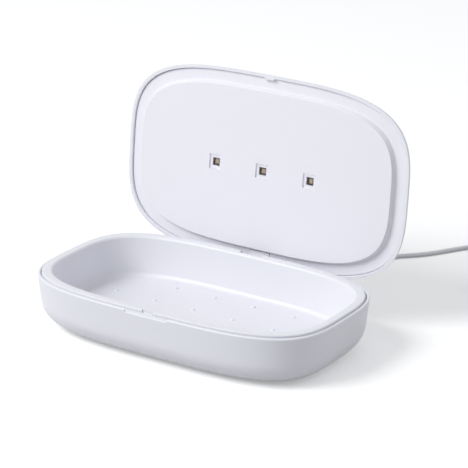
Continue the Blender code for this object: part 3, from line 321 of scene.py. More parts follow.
def soften(piece, width, segments=2, angle=smooth_angle):
    """Breaks the sharp edges of a piece with a narrow round."""
    bake(piece, "BEVEL", width=width, segments=segments, limit_method="ANGLE", angle_limit=angle)


def finish_piece(piece, body, look, slot, *nodes, place=None):
    """Ends the work on a piece. Its place is that of its body, unless another is given."""
    piece.data.transform(body_places[body] if place is None else place)
    piece.data.shade_smooth()
    piece.data.set_sharp_from_angle(angle=smooth_angle)
    bake(piece, "WEIGHTED_NORMAL", keep_sharp=True, weight=80)
    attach(piece, body)
    if nodes:
        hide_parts(*nodes)
    looks.append((piece, look))
    return piece


def around(middle, half):
    """A span that reaches as far below its middle as above it."""
    return middle - half, middle + half


def block(x_span, y_span, z_span, rounding=0, axis=None, segments=4):
    """A box over three spans, with all edges or those along one axis rounded."""
    # One number is a span that reaches as far to both sides of 0.
    spans = [span if isinstance(span, tuple) else (-span, span)
             for span in (x_span, y_span, z_span)]
    low, high = (Vector(corner) for corner in zip(*spans))
    shape = bmesh.new()
    bmesh.ops.create_cube(shape, size=1)
    bmesh.ops.scale(shape, vec=high - low, verts=shape.verts)
    bmesh.ops.translate(shape, vec=(high + low) / 2, verts=shape.verts)
    if rounding:
        long_enough = (high - low)[axis or 0] / 2
        chosen = [edge for edge in shape.edges if axis is None
                  or abs((edge.verts[1].co - edge.verts[0].co)[axis]) > long_enough]
        bmesh.ops.bevel(shape, geom=chosen, offset=rounding, segments=segments, profile=0.5,
                        affect="EDGES", material=-1)
    return shape


def pointing(direction):
    """A turn that takes the upright axis to a direction."""
    return Vector((0, 0, 1)).rotation_difference(Vector(direction)).to_matrix().to_4x4()


def rod(start, end, radius, sides=48, end_radius=None):
    """A straight round rod or cone between two points."""
    shape = bmesh.new()
    start, end = Vector(start), Vector(end)
    bmesh.ops.create_cone(shape, cap_ends=True, segments=sides, radius1=radius,
                          radius2=radius if end_radius is None else end_radius,
                          depth=(end - start).length)
    bmesh.ops.transform(shape, verts=shape.verts,
                        matrix=Matrix.Translation((start + end) / 2) @ pointing(end - start))
    return shape


def together(shapes):
    """Several shapes in one, for a cutter that works in many places."""
    whole = bmesh.new()
    for shape in shapes:
        mesh = bpy.data.meshes.new("shape")
        shape.to_mesh(mesh)
        shape.free()
        whole.from_mesh(mesh)
        bpy.data.meshes.remove(mesh)
    return whole


def mirrored(x, y):
    return [(-x, y), (x, y)]


def upright(places, low, high, radius):
    """Upright rods in several places, by their ends and their radius in millimetres."""
    return together([rod((x, y, low * MM), (x, y, high * MM), radius * MM) for x, y in places])


def in_mm(*pairs):
    return [(a * MM, b * MM) for a, b in pairs]


def spun(name, profile, place=(0, 0, 0), along=(0, 0, 1), steps=48):
    """A turned piece: a half section of pairs of radius and height, spun once round."""
    shape = bmesh.new()
    verts = [shape.verts.new((radius, 0, height)) for radius, height in profile]
    edges = [shape.edges.new(pair) for pair in zip(verts, verts[1:])]
    bmesh.ops.spin(shape, geom=verts + edges, cent=(0, 0, 0), axis=(0, 0, 1),
                   angle=2 * math.pi, steps=steps, use_merge=True)
    bmesh.ops.remove_doubles(shape, verts=shape.verts, dist=weld_distance)
    bmesh.ops.recalc_face_normals(shape, faces=shape.faces)
    bmesh.ops.transform(shape, verts=shape.verts,
                        matrix=Matrix.Translation(place) @ pointing(along))
    return object_from(name, shape)


# %% [markdown]
# ## The base shell
#
# The real base is one white moulding with a generous round under its sides and walls that lean
# out towards the rim. A loft gives the wall its even thickness. Then come the posts that carry
# screws, and the cutters: the places of the four feet, the notch where the lid's arm passes, the
# mouth of the inlet, and a shallow dip for the thumb at the front.

# %% Base shell
fit_gap = 0.3 * MM
overrun = 1.0 * MM
base_height = 32.8 * MM
base_wall = 1.7 * MM
base_floor = 2.0 * MM
base_round = 14.8 * MM
base_draft = 3.15 * MM
rim_fillet = 1.0 * MM
rim_softening = 0.5 * MM
round_steps = 16
fillet_steps = 6


def draft_at(z):
    return base_draft * (1 - (z - foot_stand_off) / base_height)


def base_inset(z):
    """How far the outside of the base lies inside the rim's outline at a height."""
    if z - foot_stand_off >= base_round:
        return draft_at(z)
    drop = base_round - (z - foot_stand_off)
    return draft_at(z) + base_round - math.sqrt(base_round ** 2 - drop ** 2)


def base_profile():
    floor_z = foot_stand_off + base_floor
    round_z = foot_stand_off + base_round
    fillet_z = rim_z - rim_fillet
    points = []
    for step in range(round_steps + 1):
        z = round_z - base_round * math.cos(math.radians(90 * step / round_steps))
        points.append((base_inset(z), z))
    points += [(draft_at(z), z) for z in (round_z + rim_softening, fillet_z - rim_softening)]
    points += bend(rim_fillet, fillet_z, rim_fillet, 180, 90, fillet_steps)
    points += bend(base_wall - rim_softening, rim_z - rim_softening, rim_softening, 90, 0, 4)
    for step in range(round_steps):
        angle = math.radians(90 * step / (round_steps - 1))
        z = round_z - (round_z - floor_z) * math.sin(angle)
        inset = base_wall + draft_at(z) + (base_round - base_wall) * (1 - math.cos(angle))
        points.append((inset, z))
    return points


# %% Posts and openings of the base
foot_x = 52.0 * MM
foot_y = 32.0 * MM
feet = mirrored(foot_x, -foot_y) + mirrored(foot_x, foot_y)
strap_posts = mirrored(20.0 * MM, 55.2 * MM)
sill_z = 25.365 * MM
notch_half_width = 11.8 * MM
barrel_radius = 2.6 * MM
inlet_half_width = 4.85 * MM
inlet_half_height = 1.9 * MM
inlet_corner = 1.6 * MM
thumb_span = (-14.5 * MM, 15.0 * MM)
thumb_y = -half_width - 3.2 * MM
thumb_radius = 4.0 * MM

base_piece = loft("base_body", base_profile())
join_on(base_piece, upright(feet, 2.0, 4.5, 4.0), upright(strap_posts, 13.65, 23.45, 2.3))
foot_seats = upright(feet, 0, 1.9, 6.3)
screw_heads = upright(feet, 1.0, 3.5, 2.4)
screw_bores = upright(feet, 1.0, 5.5, 1.3)
arm_notch = block(notch_half_width, (hinge_y - barrel_radius - fit_gap, half_width + overrun),
                  (sill_z, rim_z + overrun))
inlet_opening = block(around(inlet_x, inlet_half_width),
                      (half_width - base_inset(inlet_z) - 2 * base_wall, half_width + overrun),
                      around(inlet_z, inlet_half_height), inlet_corner, Y)
thumb_dip = rod(*((x, thumb_y, rim_z) for x in thumb_span), thumb_radius, 96)
carve(base_piece, foot_seats, screw_heads, screw_bores, arm_notch, inlet_opening, thumb_dip)

# %% [markdown]
# ## The tray
#
# The tray is a dish that drops into the base. Its edge stands a millimetre proud of the rim,
# behind a narrow groove. Its wall leans in a little and runs into the floor with a small round.
# Nubs hold a phone clear of the floor: they are spheres pressed flat and sunk in by half.

# %% Tray
tray_floor_z = 9.0 * MM
tray_thickness = 1.8 * MM
tray_mouth = 8.4 * MM
tray_lean = 2.6 * MM
mouth_fillet = 2.0 * MM
floor_fillet = 3.5 * MM
floor_margin = 0.8 * MM
lip_width = 2.1 * MM
tray_edge_round = 0.6 * MM
tray_shoulder = 1.0 * MM
groove_z = rim_z - 0.9 * MM
skirt_z = rim_z - 2.0 * MM
skirt_inset = 2.0 * MM


def tray_profile():
    fillet_z = tray_floor_z + floor_fillet
    fillet_inset = tray_mouth + tray_lean + floor_fillet
    edge = lip_width + fit_gap
    under_z = tray_top_z - tray_thickness
    points = [(fillet_inset + floor_margin, tray_floor_z)]
    points += bend(fillet_inset, fillet_z, floor_fillet, 270, 180, round_steps)
    points += bend(tray_mouth - mouth_fillet, tray_top_z - mouth_fillet, mouth_fillet, 0, 90,
                   fillet_steps + 2)
    points.append((edge + tray_shoulder, tray_top_z))
    points += bend(edge + tray_edge_round, tray_top_z - tray_edge_round, tray_edge_round,
                   90, 180, fillet_steps)
    points += [(edge, groove_z), (skirt_inset, groove_z - fit_gap), (skirt_inset, skirt_z),
               (skirt_inset + tray_thickness, skirt_z), (skirt_inset + tray_thickness, under_z),
               (tray_mouth - tray_thickness, under_z)]
    points += bend(fillet_inset, fillet_z, floor_fillet + tray_thickness, 180, 270, round_steps)
    return points


# %% Nubs, bosses and slots of the tray
nub_radius = 1.6 * MM
nub_height = 0.8 * MM
nub_pitch_x = 28.5 * MM
nub_pitch_y = 24.0 * MM
nub_columns = 6
nub_rows = 4
arm_slot_half_width = 7.9 * MM
catch_slot_half_width = 3.8 * MM
catch_slot_depth = 3.3 * MM
catch_slot_z = rim_z - 0.8 * MM

nubs = []
for column in range(nub_columns):
    for row in range(nub_rows):
        if column in (0, nub_columns - 1) and row in (0, nub_rows - 1):
            continue
        x = (column - (nub_columns - 1) / 2) * nub_pitch_x
        y = (row - (nub_rows - 1) / 2) * nub_pitch_y
        nub = bmesh.new()
        bmesh.ops.create_uvsphere(nub, u_segments=20, v_segments=12, radius=1)
        bmesh.ops.scale(nub, vec=(nub_radius, nub_radius, nub_height), verts=nub.verts)
        bmesh.ops.translate(nub, vec=(x, y, tray_floor_z), verts=nub.verts)
        nubs.append(nub)

tray_piece = loft("tray_dish", tray_profile())
join_on(tray_piece, together(nubs), upright(feet, 4.8, 8.1, 4.0))
arm_slot = block(arm_slot_half_width, (hinge_y - barrel_radius - 3 * fit_gap, half_width),
                 (hinge_z, tray_top_z + overrun))
catch_slot = block(catch_slot_half_width, (-half_width, -half_width + catch_slot_depth),
                   (catch_slot_z, tray_top_z + overrun))
carve(tray_piece, upright(feet, 3.8, 8.3, 1.3), arm_slot, catch_slot)

# %% [markdown]
# ## The lid shell
#
# The lid is drawn closed, because its outline is then the base's own, and turned open about the
# hinge at the end. Its side is one round that runs into a top with a slight crown. A narrow lip
# goes all round, and behind it the inside of the round begins. A thin tab at the front stands
# in the tray's slot when the box is closed.

# %% Lid shell
lid_wall = 1.8 * MM
side_round = 7.6 * MM
lip_round = 0.4 * MM
crown = 1.2 * MM
crown_steps = 12


def lid_profile():
    inner = side_round - lid_wall
    lip_angle = 180 - math.degrees(math.acos((side_round - lip_width) / inner))
    dome = []
    for step in range(1, crown_steps):
        share = step / crown_steps
        dome.append((side_round + share * (half_width - side_round),
                     lid_rim_z + side_round + crown * (1 - (1 - share) ** 2)))
    outer = bend(side_round, lid_rim_z, side_round, 180, 92, round_steps)
    points = [*reversed(dome), *reversed(outer)]
    points += bend(lip_width - lip_round, lid_rim_z + lip_round, lip_round, 270, 360, fillet_steps)
    points += bend(side_round, lid_rim_z, inner, lip_angle, 94, round_steps - 4)
    points += [(inset, z - lid_wall) for inset, z in dome]
    return points


# %% Bosses, catch tab and holes of the lid
button_y = -36.0 * MM
button_hole = 5.8 * MM
light_x = 11.0 * MM
light_hole = 1.55 * MM
above_lid_z = 50.0 * MM
arm_screws = mirrored(4.5 * MM, 43.5 * MM)
tab_half_width = 3.5 * MM
tab_back_y = -57.3 * MM

lid_piece = loft("lid_cover", lid_profile())
join_on(lid_piece, upright(arm_screws, 39.85, 40.98, 2.3))
carve(lid_piece, upright(arm_screws, 39.55, 41.48, 1.05))
tab_root = block(tab_half_width, (-59.05 * MM, tab_back_y), (lid_rim_z + lip_round, 35.3 * MM))
tab_tongue = block(tab_half_width, (-58.1 * MM, tab_back_y), (33.3 * MM, 35.0 * MM))
join_on(lid_piece, tab_root, tab_tongue)
carve(lid_piece, rod((0, button_y, flange_z), (0, button_y, above_lid_z), button_hole, 96),
      rod((light_x, button_y, flange_z), (light_x, button_y, above_lid_z), light_hole))

# %% [markdown]
# ## The lid's inner panel
#
# Inside the lid lies a flat flange, and on it a raised plateau with a short straight slope
# round it. A slot at the rear lets the arm through. Three square recesses hold the clear
# windows, and a smaller square opening behind each window lets the emitter shine out.

# %% Inner panel
panel_thickness = 1.8 * MM
plateau_inset = 9.0 * MM
plateau_crest = 10.2 * MM
plateau_foot = 9.05 * MM
plateau_margin = 1.5 * MM
crest_round = 0.4 * MM
foot_round = 0.3 * MM
panel_chamfer = 0.3 * MM
back_chamfer = 0.8 * MM


def softened(before, corner, after, reach, steps=4):
    """A corner of a section, softened over a reach along both its sides."""
    start, end = ([c + (o - c) * reach / math.dist(corner, other) for c, o in zip(corner, other)]
                  for other in (before, after))
    points = []
    for step in range(steps + 1):
        t = step / steps
        points.append(tuple(a * (1 - t) ** 2 + 2 * c * t * (1 - t) + b * t ** 2
                            for a, c, b in zip(start, corner, end)))
    return points


def panel_profile():
    edge = lip_width + fit_gap
    reach = math.sqrt((side_round - lid_wall) ** 2 - (flange_back_z - lid_rim_z) ** 2)
    back = plateau_inset + panel_thickness
    inner = (plateau_crest + plateau_margin, plateau_z)
    crest = (plateau_crest, plateau_z)
    foot = (plateau_foot, flange_z)
    points = [inner, *softened(inner, crest, foot, crest_round),
              *softened(crest, foot, (edge, flange_z), foot_round)]
    points += [(edge + panel_chamfer, flange_z), (edge, flange_z + panel_chamfer),
               (edge, flange_z + 2 * panel_chamfer),
               (side_round - reach + fit_gap, flange_back_z), (back, flange_back_z),
               (back, plateau_back_z + back_chamfer), (back + back_chamfer, plateau_back_z)]
    return points


# %% Openings of the panel
arm_half_width = 7.3 * MM
arm_front_y = 51.7 * MM
window_side = 8.6 * MM
aperture_side = 5.0 * MM
seat_z = plateau_z + 0.9 * MM
emitter_places = [-33.8 * MM, 0, 33.8 * MM]


def squares(side, top_z, rounding):
    """Upright square cutters from under the panel, one for each emitter."""
    return together([block(around(x, side / 2), side / 2, (plateau_z - overrun, top_z),
                           rounding, Z) for x in emitter_places])


panel_piece = loft("lid_panel_face", panel_profile())
arm_opening = block(arm_half_width + fit_gap, (arm_front_y - fit_gap, half_width),
                    (plateau_z, flange_back_z + overrun))
carve(panel_piece, arm_opening, squares(window_side + 2 * fit_gap, seat_z, 0.5 * MM),
      squares(aperture_side, plateau_back_z + overrun, 0.25 * MM))

# %% Pillars for the boards, and the four shells in place
pillar_foot = 33.0
for pair, pillar_top in ((mirrored(16.9 * MM, 0), 34.7), (mirrored(16.8 * MM, button_y), 34.2)):
    join_on(panel_piece, upright(pair, pillar_foot, pillar_top, 2.0),
            upright(pair, pillar_foot, pillar_top + 1.9, 0.8))

finish_piece(base_piece, "base", "satin_shell", "white_shell", "base_shell")
finish_piece(tray_piece, "base", "satin_tray", "white_inner", "inner_tray")
finish_piece(lid_piece, "lid", "satin_shell", "white_shell", "lid_shell")
finish_piece(panel_piece, "lid", "satin_panel", "white_inner", "lid_panel")

# %% [markdown]
# ## The hinge
#
# A steel strap across two posts carries an ear on each side of the lid's arm, and one hollow
# pin runs through all three. The CAD forms are right here, so we copy them, join their loose
# triangles into one skin, and break the sharp edges as tumbling does.

# %% Hinge pieces from the CAD forms
flat_angle = math.radians(1)


def softened_copy(name, node, body, look, slot, width=0):
    """A CAD node's form, with its flat faces made whole and its edges softened."""
    shape = bmesh.new()
    shape.from_mesh(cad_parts[node].data)
    bmesh.ops.remove_doubles(shape, verts=shape.verts, dist=weld_distance)
    bmesh.ops.dissolve_limit(shape, angle_limit=flat_angle, verts=shape.verts, edges=shape.edges)
    piece = object_from(name, shape)
    if width:
        soften(piece, width)
    return finish_piece(piece, body, look, slot, node, place=Matrix())


softened_copy("lid_arm", "hinge_arm", "lid", "satin_arm", "white_inner", 0.15 * MM)
softened_copy("hinge_strap", "hinge_bracket", "base", "strap_steel", "steel", 0.12 * MM)
softened_copy("hinge_tube", "hinge_pin", "base", "nickel_plate", "plated")

# %% [markdown]
# ## Turned pieces: the button, the light, the feet and the screws
#
# Anything round on its own axis is one half section, spun. The button has a shallow dish for
# the fingertip and a soft edge, and the light beside it is a clear rod with a low dome. The
# feet are rubber discs. The screws get a cross in the head, cut by two thin blocks.

# %% Start button
button_top_z = 42.05 * MM
dish_radius = 5.0 * MM
dish_depth = 0.35 * MM
dish_steps = 6
button_edge = 0.4 * MM


def arc(radius, height, across, up, angles):
    """Points of a quarter ellipse, by their angles from the axis."""
    return [(radius + across * math.sin(math.radians(angle)),
             height + up * math.cos(math.radians(angle))) for angle in angles]


dish = [(dish_radius * step / dish_steps,
         button_top_z - dish_depth * (1 - (step / dish_steps) ** 2))
        for step in range(dish_steps + 1)]
button_round = arc(5.1 * MM, button_top_z - button_edge, button_edge, button_edge,
                   (15, 30, 50, 70, 90))
button_stem = in_mm((5.5, 40.099), (6.9, 40.099), (6.9, 39.099), (1.5, 39.099), (1.5, 38.1),
                    (0, 38.1))
button_piece = spun("start_key", dish + button_round + button_stem, (0, button_y, 0), steps=96)
finish_piece(button_piece, "button", "key_finish", "light_grey", "start_button")

# %% Status light
light_dome = arc(0, 41.95 * MM, 1.25 * MM, 0.246 * MM, range(0, 91, 15))
light_rod = in_mm((1.25, 40.27), (2.05, 40.27), (2.05, 39.47), (1.25, 39.47), (1.25, 35.8),
                  (0, 35.8))
light_piece = spun("status_light", light_dome + light_rod, (light_x, button_y, 0))
finish_piece(light_piece, "lid", "quartz_clear", "quartz", "status_light_pipe")

# %% Feet
corners = ("front_left", "front_right", "rear_left", "rear_right")
foot_top = in_mm((0, 1.6), (6.0, 1.6))
foot_edge = arc(5.4 * MM, 0.6 * MM, 0.6 * MM, -0.6 * MM, (90, 70, 50, 30, 15, 0))
foot_sole = in_mm((4.2, 0), (4.0, 0.15), (0, 0.15))
for corner, foot in zip(corners, feet):
    piece = spun(f"rubber_foot_{corner}", foot_top + foot_edge + foot_sole, (*foot, 0), steps=64)
    finish_piece(piece, "base", "foot_rubber", "grey_rubber", f"foot_{corner}")

# %% Screws
head_height = 1.0 * MM
thread_pitch = 0.6 * MM
thread_root = 0.82


def screw(name, node, body, place, upwards, head_radius, radius, length):
    """A screw whose head starts at its place and whose shank points up or down."""
    tip = head_height + length
    profile = [(0, tip), (radius * 0.5, tip), (radius, tip - radius * 0.5)]
    for turn in range(int((length - 2 * radius) / thread_pitch)):
        z = tip - radius - turn * thread_pitch
        profile += [(radius, z), (radius * thread_root, z - thread_pitch * 0.4),
                    (radius, z - thread_pitch * 0.8)]
    profile += [(radius, head_height), (head_radius, head_height),
                (head_radius, 0.3 * head_height), (head_radius * 0.8, 0), (0, 0)]
    piece = spun(name, profile, steps=32)
    wide, narrow, depth = head_radius * 0.62, head_radius * 0.16, (-overrun, 0.5 * head_height)
    carve(piece, block(wide, narrow, depth), block(narrow, wide, depth))
    turn = pointing((0, 0, 1 if upwards else -1))
    finish_piece(piece, body, "screw_steel", "steel", node,
                 place=body_places[body] @ Matrix.Translation(place) @ turn)


for corner, foot in zip(corners, feet):
    screw(f"floor_screw_{corner}", f"base_screw_{corner}", "base", (*foot, 2.2 * MM), True,
          2.1 * MM, 1.0 * MM, 4.8 * MM)
for side, post, boss in zip(("left", "right"), strap_posts, arm_screws):
    screw(f"strap_screw_{side}", f"bracket_screw_{side}", "base", (*post, 26.55 * MM), False,
          1.6 * MM, 0.75 * MM, 7.5 * MM)
    screw(f"plate_screw_{side}", f"arm_screw_{side}", "lid", (*boss, 36.45 * MM), True,
          1.6 * MM, 0.75 * MM, 3.9 * MM)

# %% [markdown]
# ## The emitters and their windows
#
# Each emitter is a small package with a well, seen through a clear square window. Its near-black
# colour is painted shade, standing in for the shade deep in each opening. In the well lies a
# gold-plated chip, cut into six fields by fine grooves, a little off its middle.

# %% Emitters
package_half = 2.35 * MM
package_span = (33.1 * MM, 34.7 * MM)
well_half = 2.0 * MM
well_span = (33.0 * MM, 34.2 * MM)
chip_span = (33.75 * MM, 34.2 * MM)
chip_half_width = 1.35 * MM
field_y = 0.45 * MM
groove_half = 0.08 * MM
groove_span = (33.6 * MM, 33.95 * MM)
for number, x in enumerate(emitter_places, start=1):
    package = block(around(x, package_half), package_half, package_span, 0.1 * MM)
    piece = object_from(f"emitter_{number}", package)
    carve(piece, block(around(x, well_half), well_half, well_span, 0.2 * MM, Z))
    finish_piece(piece, "lid", "package_painted_shade", "ceramic", f"uv_led_{number}")
    plate = block((x - 0.95 * MM, x + 1.45 * MM), chip_half_width, chip_span, 0.08 * MM)
    chip = object_from(f"emitter_chip_{number}", plate)
    carve(chip, block((x + 0.17 * MM, x + 0.33 * MM), well_half, groove_span),
          *(block(around(x, well_half), around(y, groove_half), groove_span)
            for y in (-field_y, field_y)))
    finish_piece(chip, "lid", "gold_chip", "ceramic")

# %% Windows
window_half = 4.42 * MM
window_span = (32.15 * MM, 32.7 * MM)
for number, x in enumerate(emitter_places, start=1):
    pane = block(around(x, window_half), window_half, window_span, 0.12 * MM, segments=2)
    piece = object_from(f"clear_window_{number}", pane)
    finish_piece(piece, "lid", "quartz_clear", "quartz", f"led_window_{number}")

# %% [markdown]
# ## The plugs on the lead
#
# The small plug stands in the inlet in the rear wall. Its grip is a soft block with shallow
# ribs, and a ringed sleeve guards the lead where it leaves. The large plug at the far end has a
# folded metal shell with two square windows, and a black tongue inside it.

# %% Small plug
plug_span = (58.5411 * MM, 78.5411 * MM)
grip_half_width = 5.25 * MM
grip_half_height = 3.25 * MM
grip_angle = math.radians(50)
rib_count = 5
rib_start = 6.0 * MM
rib_pitch = 2.2 * MM
rib_width = 0.9 * MM
nose_opening_y = 62.84 * MM

grip = object_from("small_plug_grip", block(
    around(inlet_x, grip_half_width), plug_span, around(inlet_z, grip_half_height),
    2.4 * MM, Y, 10))
soften(grip, 0.6 * MM, 4, grip_angle)
for side in (-1, 1):
    for rib in range(rib_count):
        y = plug_span[0] + rib_start + rib * rib_pitch
        groove = around(inlet_x + side * grip_half_width, 0.3 * MM)
        carve(grip, block(groove, (y, y + rib_width), around(inlet_z, 2.0 * MM), 0.2 * MM, X, 3))
carve(grip, block(around(inlet_x, 4.3 * MM), (plug_span[0] - overrun, nose_opening_y),
                  around(inlet_z, 1.35 * MM), 1.15 * MM, Y, 6))
finish_piece(grip, "base", "plug_grip_finish", "white_cable", "device_plug")

# %% Ringed sleeve
sleeve_start = plug_span[1] + fit_gap
sleeve_length = 12.0 * MM
sleeve_thin = 2.1 * MM
sleeve_flare = 0.8 * MM
ring_count = 4
# Points of a ring: how far inside the sleeve's taper, and how far along it
ring_section = in_mm((0, 0.65), (0.1, 0.45), (0.33, 0.3), (0.33, -0.3), (0.1, -0.45), (0, -0.65))
sleeve_profile = in_mm((0, 12.0), (1.6, 12.0), (1.95, 11.9), (2.1, 11.6))
for ring in range(ring_count):
    middle = sleeve_length - (ring + 1) * sleeve_length / (ring_count + 1)
    taper = sleeve_thin + sleeve_flare * (1 - middle / sleeve_length)
    sleeve_profile += [(taper - inside, middle + along) for inside, along in ring_section]
sleeve_profile += in_mm((2.9, 0.2), (2.7, 0), (0, 0))
sleeve = spun("lead_sleeve", sleeve_profile, (inlet_x, sleeve_start, inlet_z), (0, 1, 0))
finish_piece(sleeve, "base", "soft_jacket", "white_cable", "strain_relief")

# %% Metal nose of the small plug, and its inlet
nose = softened_copy("small_plug_nose", "device_plug_tip", "base", "nickel_plate", "plated")
softened_copy("inlet_sleeve", "power_socket_shell", "base", "nickel_plate", "plated")

# %% Large plug
large_place = (base_place @ Matrix.Translation(Vector((119.598, 209.459, 5.1)) * MM)
               @ Matrix.Rotation(tail_angle, 4, "Z"))
large_half_width = 7.8 * MM
large_half_height = 4.7 * MM
large_rib_start = 17.0 * MM
large_rib_pitch = 2.4 * MM
large_rib_width = 1.1 * MM
shell_half_width = 6.0 * MM
shell_half_height = 2.25 * MM
shell_wall = 0.3 * MM

large_grip = object_from("large_plug_grip", block(
    (9 * MM, 33 * MM), large_half_width, large_half_height, 2.35 * MM, X, 8))
soften(large_grip, 0.7 * MM, 4, grip_angle)
for side in (-1, 1):
    for rib in range(rib_count):
        x = large_rib_start + rib * large_rib_pitch
        groove = around(side * large_half_width, 0.35 * MM)
        carve(large_grip, block((x, x + large_rib_width), groove, 2.6 * MM, 0.25 * MM, Y, 3))
join_on(large_grip, rod((0, 0, 0), (10 * MM, 0, 0), 2.4 * MM, 48, 3.4 * MM))
carve(large_grip, block((28.7 * MM, 34 * MM), shell_half_width + fit_gap / 2,
                        shell_half_height + fit_gap / 2))
finish_piece(large_grip, "base", "plug_grip_finish", "white_cable", "usb_plug_body",
             place=large_place)

# %% Shell and tongue of the large plug
shell = object_from("large_plug_shell", block(
    (29 * MM, 47.5 * MM), shell_half_width, shell_half_height, 0.45 * MM, X))
carve(shell, block((30.9 * MM, 48 * MM), shell_half_width - shell_wall,
                   shell_half_height - shell_wall, 0.2 * MM, X, 3),
      *(block((38.6 * MM, 40.8 * MM), around(side * 2.75 * MM, 1.2 * MM), 3.0 * MM)
        for side in (-1, 1)))
finish_piece(shell, "base", "nickel_plate", "plated", "usb_plug_shell", place=large_place)
tongue = softened_copy("large_plug_tongue", "usb_plug_tongue", "base", "black_moulding",
                       "dark_plastic", 0.1 * MM)

# %% [markdown]
# ## Finishes
#
# Moulded plastic is never one flat colour. It has a fine grain from the steel mould, slow
# changes of tone where the melt cooled, and light rubbing that changes the gloss. One node
# group, `moulded_face`, gives all three for any plastic here, as a colour, a roughness and a
# height for a Bump node. `drawn_metal` gives the fine streaks of rolled and plated metal.

# %% Node helpers
finishes = {}
bump_depth = 0.05 * MM


def set_values(node, **values):
    """Sets inputs and settings of a node by name, with _ for a space in an input's name."""
    for name, value in values.items():
        socket = name.replace("_", " ")
        if socket in node.inputs:
            node.inputs[socket].default_value = value
        else:
            setattr(node, name, value)


def add_node(tree, kind, place, **values):
    made = tree.nodes.new(kind)
    made.location = place
    set_values(made, **values)
    return made


def wire(tree, *links):
    """Links nodes, by rows of a node, its output, the next node and its input."""
    for source, output, target, entry in links:
        tree.links.new(source.outputs[output], target.inputs[entry])


def new_group(name, inputs):
    """A node group with a colour, a roughness and a height as its outputs."""
    group = bpy.data.node_groups.new(name, "ShaderNodeTree")
    for socket_name, value in inputs.items():
        kind = "NodeSocketColor" if isinstance(value, tuple) else "NodeSocketFloat"
        socket = group.interface.new_socket(socket_name, in_out="INPUT", socket_type=kind)
        socket.default_value = value
    for socket_name, kind in (("Colour", "Color"), ("Roughness", "Float"), ("Height", "Float")):
        group.interface.new_socket(socket_name, in_out="OUTPUT", socket_type="NodeSocket" + kind)
    given = add_node(group, "NodeGroupInput", (-900, 0))
    result = add_node(group, "NodeGroupOutput", (700, 0))
    where = add_node(group, "ShaderNodeTexCoord", (-900, -300))
    return group, given, result, where


def add_roughness(tree, noise, given, result):
    """Spreads a noise between the smoothest and the roughest value of a group."""
    spread = add_node(tree, "ShaderNodeMapRange", (150, -100))
    wire(tree, (noise, "Fac", spread, "Value"), (given, "Smoothest", spread, "To Min"),
         (given, "Roughest", spread, "To Max"), (spread, "Result", result, "Roughness"))


def add_relief(tree, source, output, strength, shader):
    """Makes a fine bump of one output of a node."""
    relief = add_node(tree, "ShaderNodeBump", (-250, -200), Strength=strength,
                      Distance=bump_depth)
    wire(tree, (source, output, relief, "Height"), (relief, "Normal", shader, "Normal"))


def new_finish(name):
    """A material with its node tree and its main shader, kept under its name."""
    finishes[name] = bpy.data.materials.new(name)
    finishes[name].use_nodes = True
    tree = finishes[name].node_tree
    return tree, tree.nodes["Principled BSDF"]


# %% Group for moulded plastic
tree, given, result, where = new_group("moulded_face", {
    "Colour": (0.8, 0.8, 0.8, 1), "Tone": (0.7, 0.7, 0.7, 1), "Tone Share": 0.3,
    "Grain Size": 1600.0, "Smoothest": 0.3, "Roughest": 0.45})
moulded_face = tree
clouds = add_node(tree, "ShaderNodeTexNoise", (-650, 250), Scale=18.0, Detail=4.0, Roughness=0.55)
grain = add_node(tree, "ShaderNodeTexNoise", (-650, -50), Detail=3.0, Roughness=0.6)
rubbed = add_node(tree, "ShaderNodeTexNoise", (-650, -350), Scale=70.0, Detail=6.0,
                  Roughness=0.7, Distortion=1.5)
amount = add_node(tree, "ShaderNodeMath", (-200, 300), operation="MULTIPLY")
toned = add_node(tree, "ShaderNodeMix", (150, 250), data_type="RGBA")
wire(tree,
     (where, "Object", clouds, "Vector"), (where, "Object", grain, "Vector"),
     (where, "Object", rubbed, "Vector"), (given, "Grain Size", grain, "Scale"),
     (clouds, "Fac", amount, 0), (given, "Tone Share", amount, 1), (amount, 0, toned, "Factor"),
     (given, "Colour", toned, "A"), (given, "Tone", toned, "B"),
     (toned, "Result", result, "Colour"), (grain, "Fac", result, "Height"))
add_roughness(tree, rubbed, given, result)

# %% Group for drawn and plated metal
tree, given, result, where = new_group("drawn_metal", {
    "Colour": (0.6, 0.6, 0.6, 1), "Streak Size": 900.0, "Smoothest": 0.2, "Roughest": 0.4})
drawn_metal = tree
stretch = add_node(tree, "ShaderNodeMapping", (-700, -300), Scale=(0.06, 1.0, 1.0))
streaks = add_node(tree, "ShaderNodeTexNoise", (-450, -100), Detail=4.0, Roughness=0.7)
darker = add_node(tree, "ShaderNodeMapRange", (-150, 250), To_Min=0.6, To_Max=1.2)
shaded = add_node(tree, "ShaderNodeMix", (150, 250), data_type="RGBA", blend_type="MULTIPLY",
                  Factor=0.35)
wire(tree,
     (where, "Object", stretch, "Vector"), (stretch, "Vector", streaks, "Vector"),
     (given, "Streak Size", streaks, "Scale"), (streaks, "Fac", darker, "Value"),
     (given, "Colour", shaded, "A"), (darker, "Result", shaded, "B"),
     (shaded, "Result", result, "Colour"), (streaks, "Fac", result, "Height"))
add_roughness(tree, streaks, given, result)


# %% Materials from the groups
def finish_from(group, name, *values, bump, metallic):
    """A material whose colour, roughness and bump come out of a group with these inputs."""
    tree, shader = new_finish(name)
    source = add_node(tree, "ShaderNodeGroup", (-500, 100), node_tree=group)
    for socket, value in zip(source.inputs, values):
        socket.default_value = (*value, 1) if isinstance(value, tuple) else value
    wire(tree, (source, "Colour", shader, "Base Color"),
         (source, "Roughness", shader, "Roughness"))
    add_relief(tree, source, "Height", bump, shader)
    set_values(shader, Metallic=metallic)


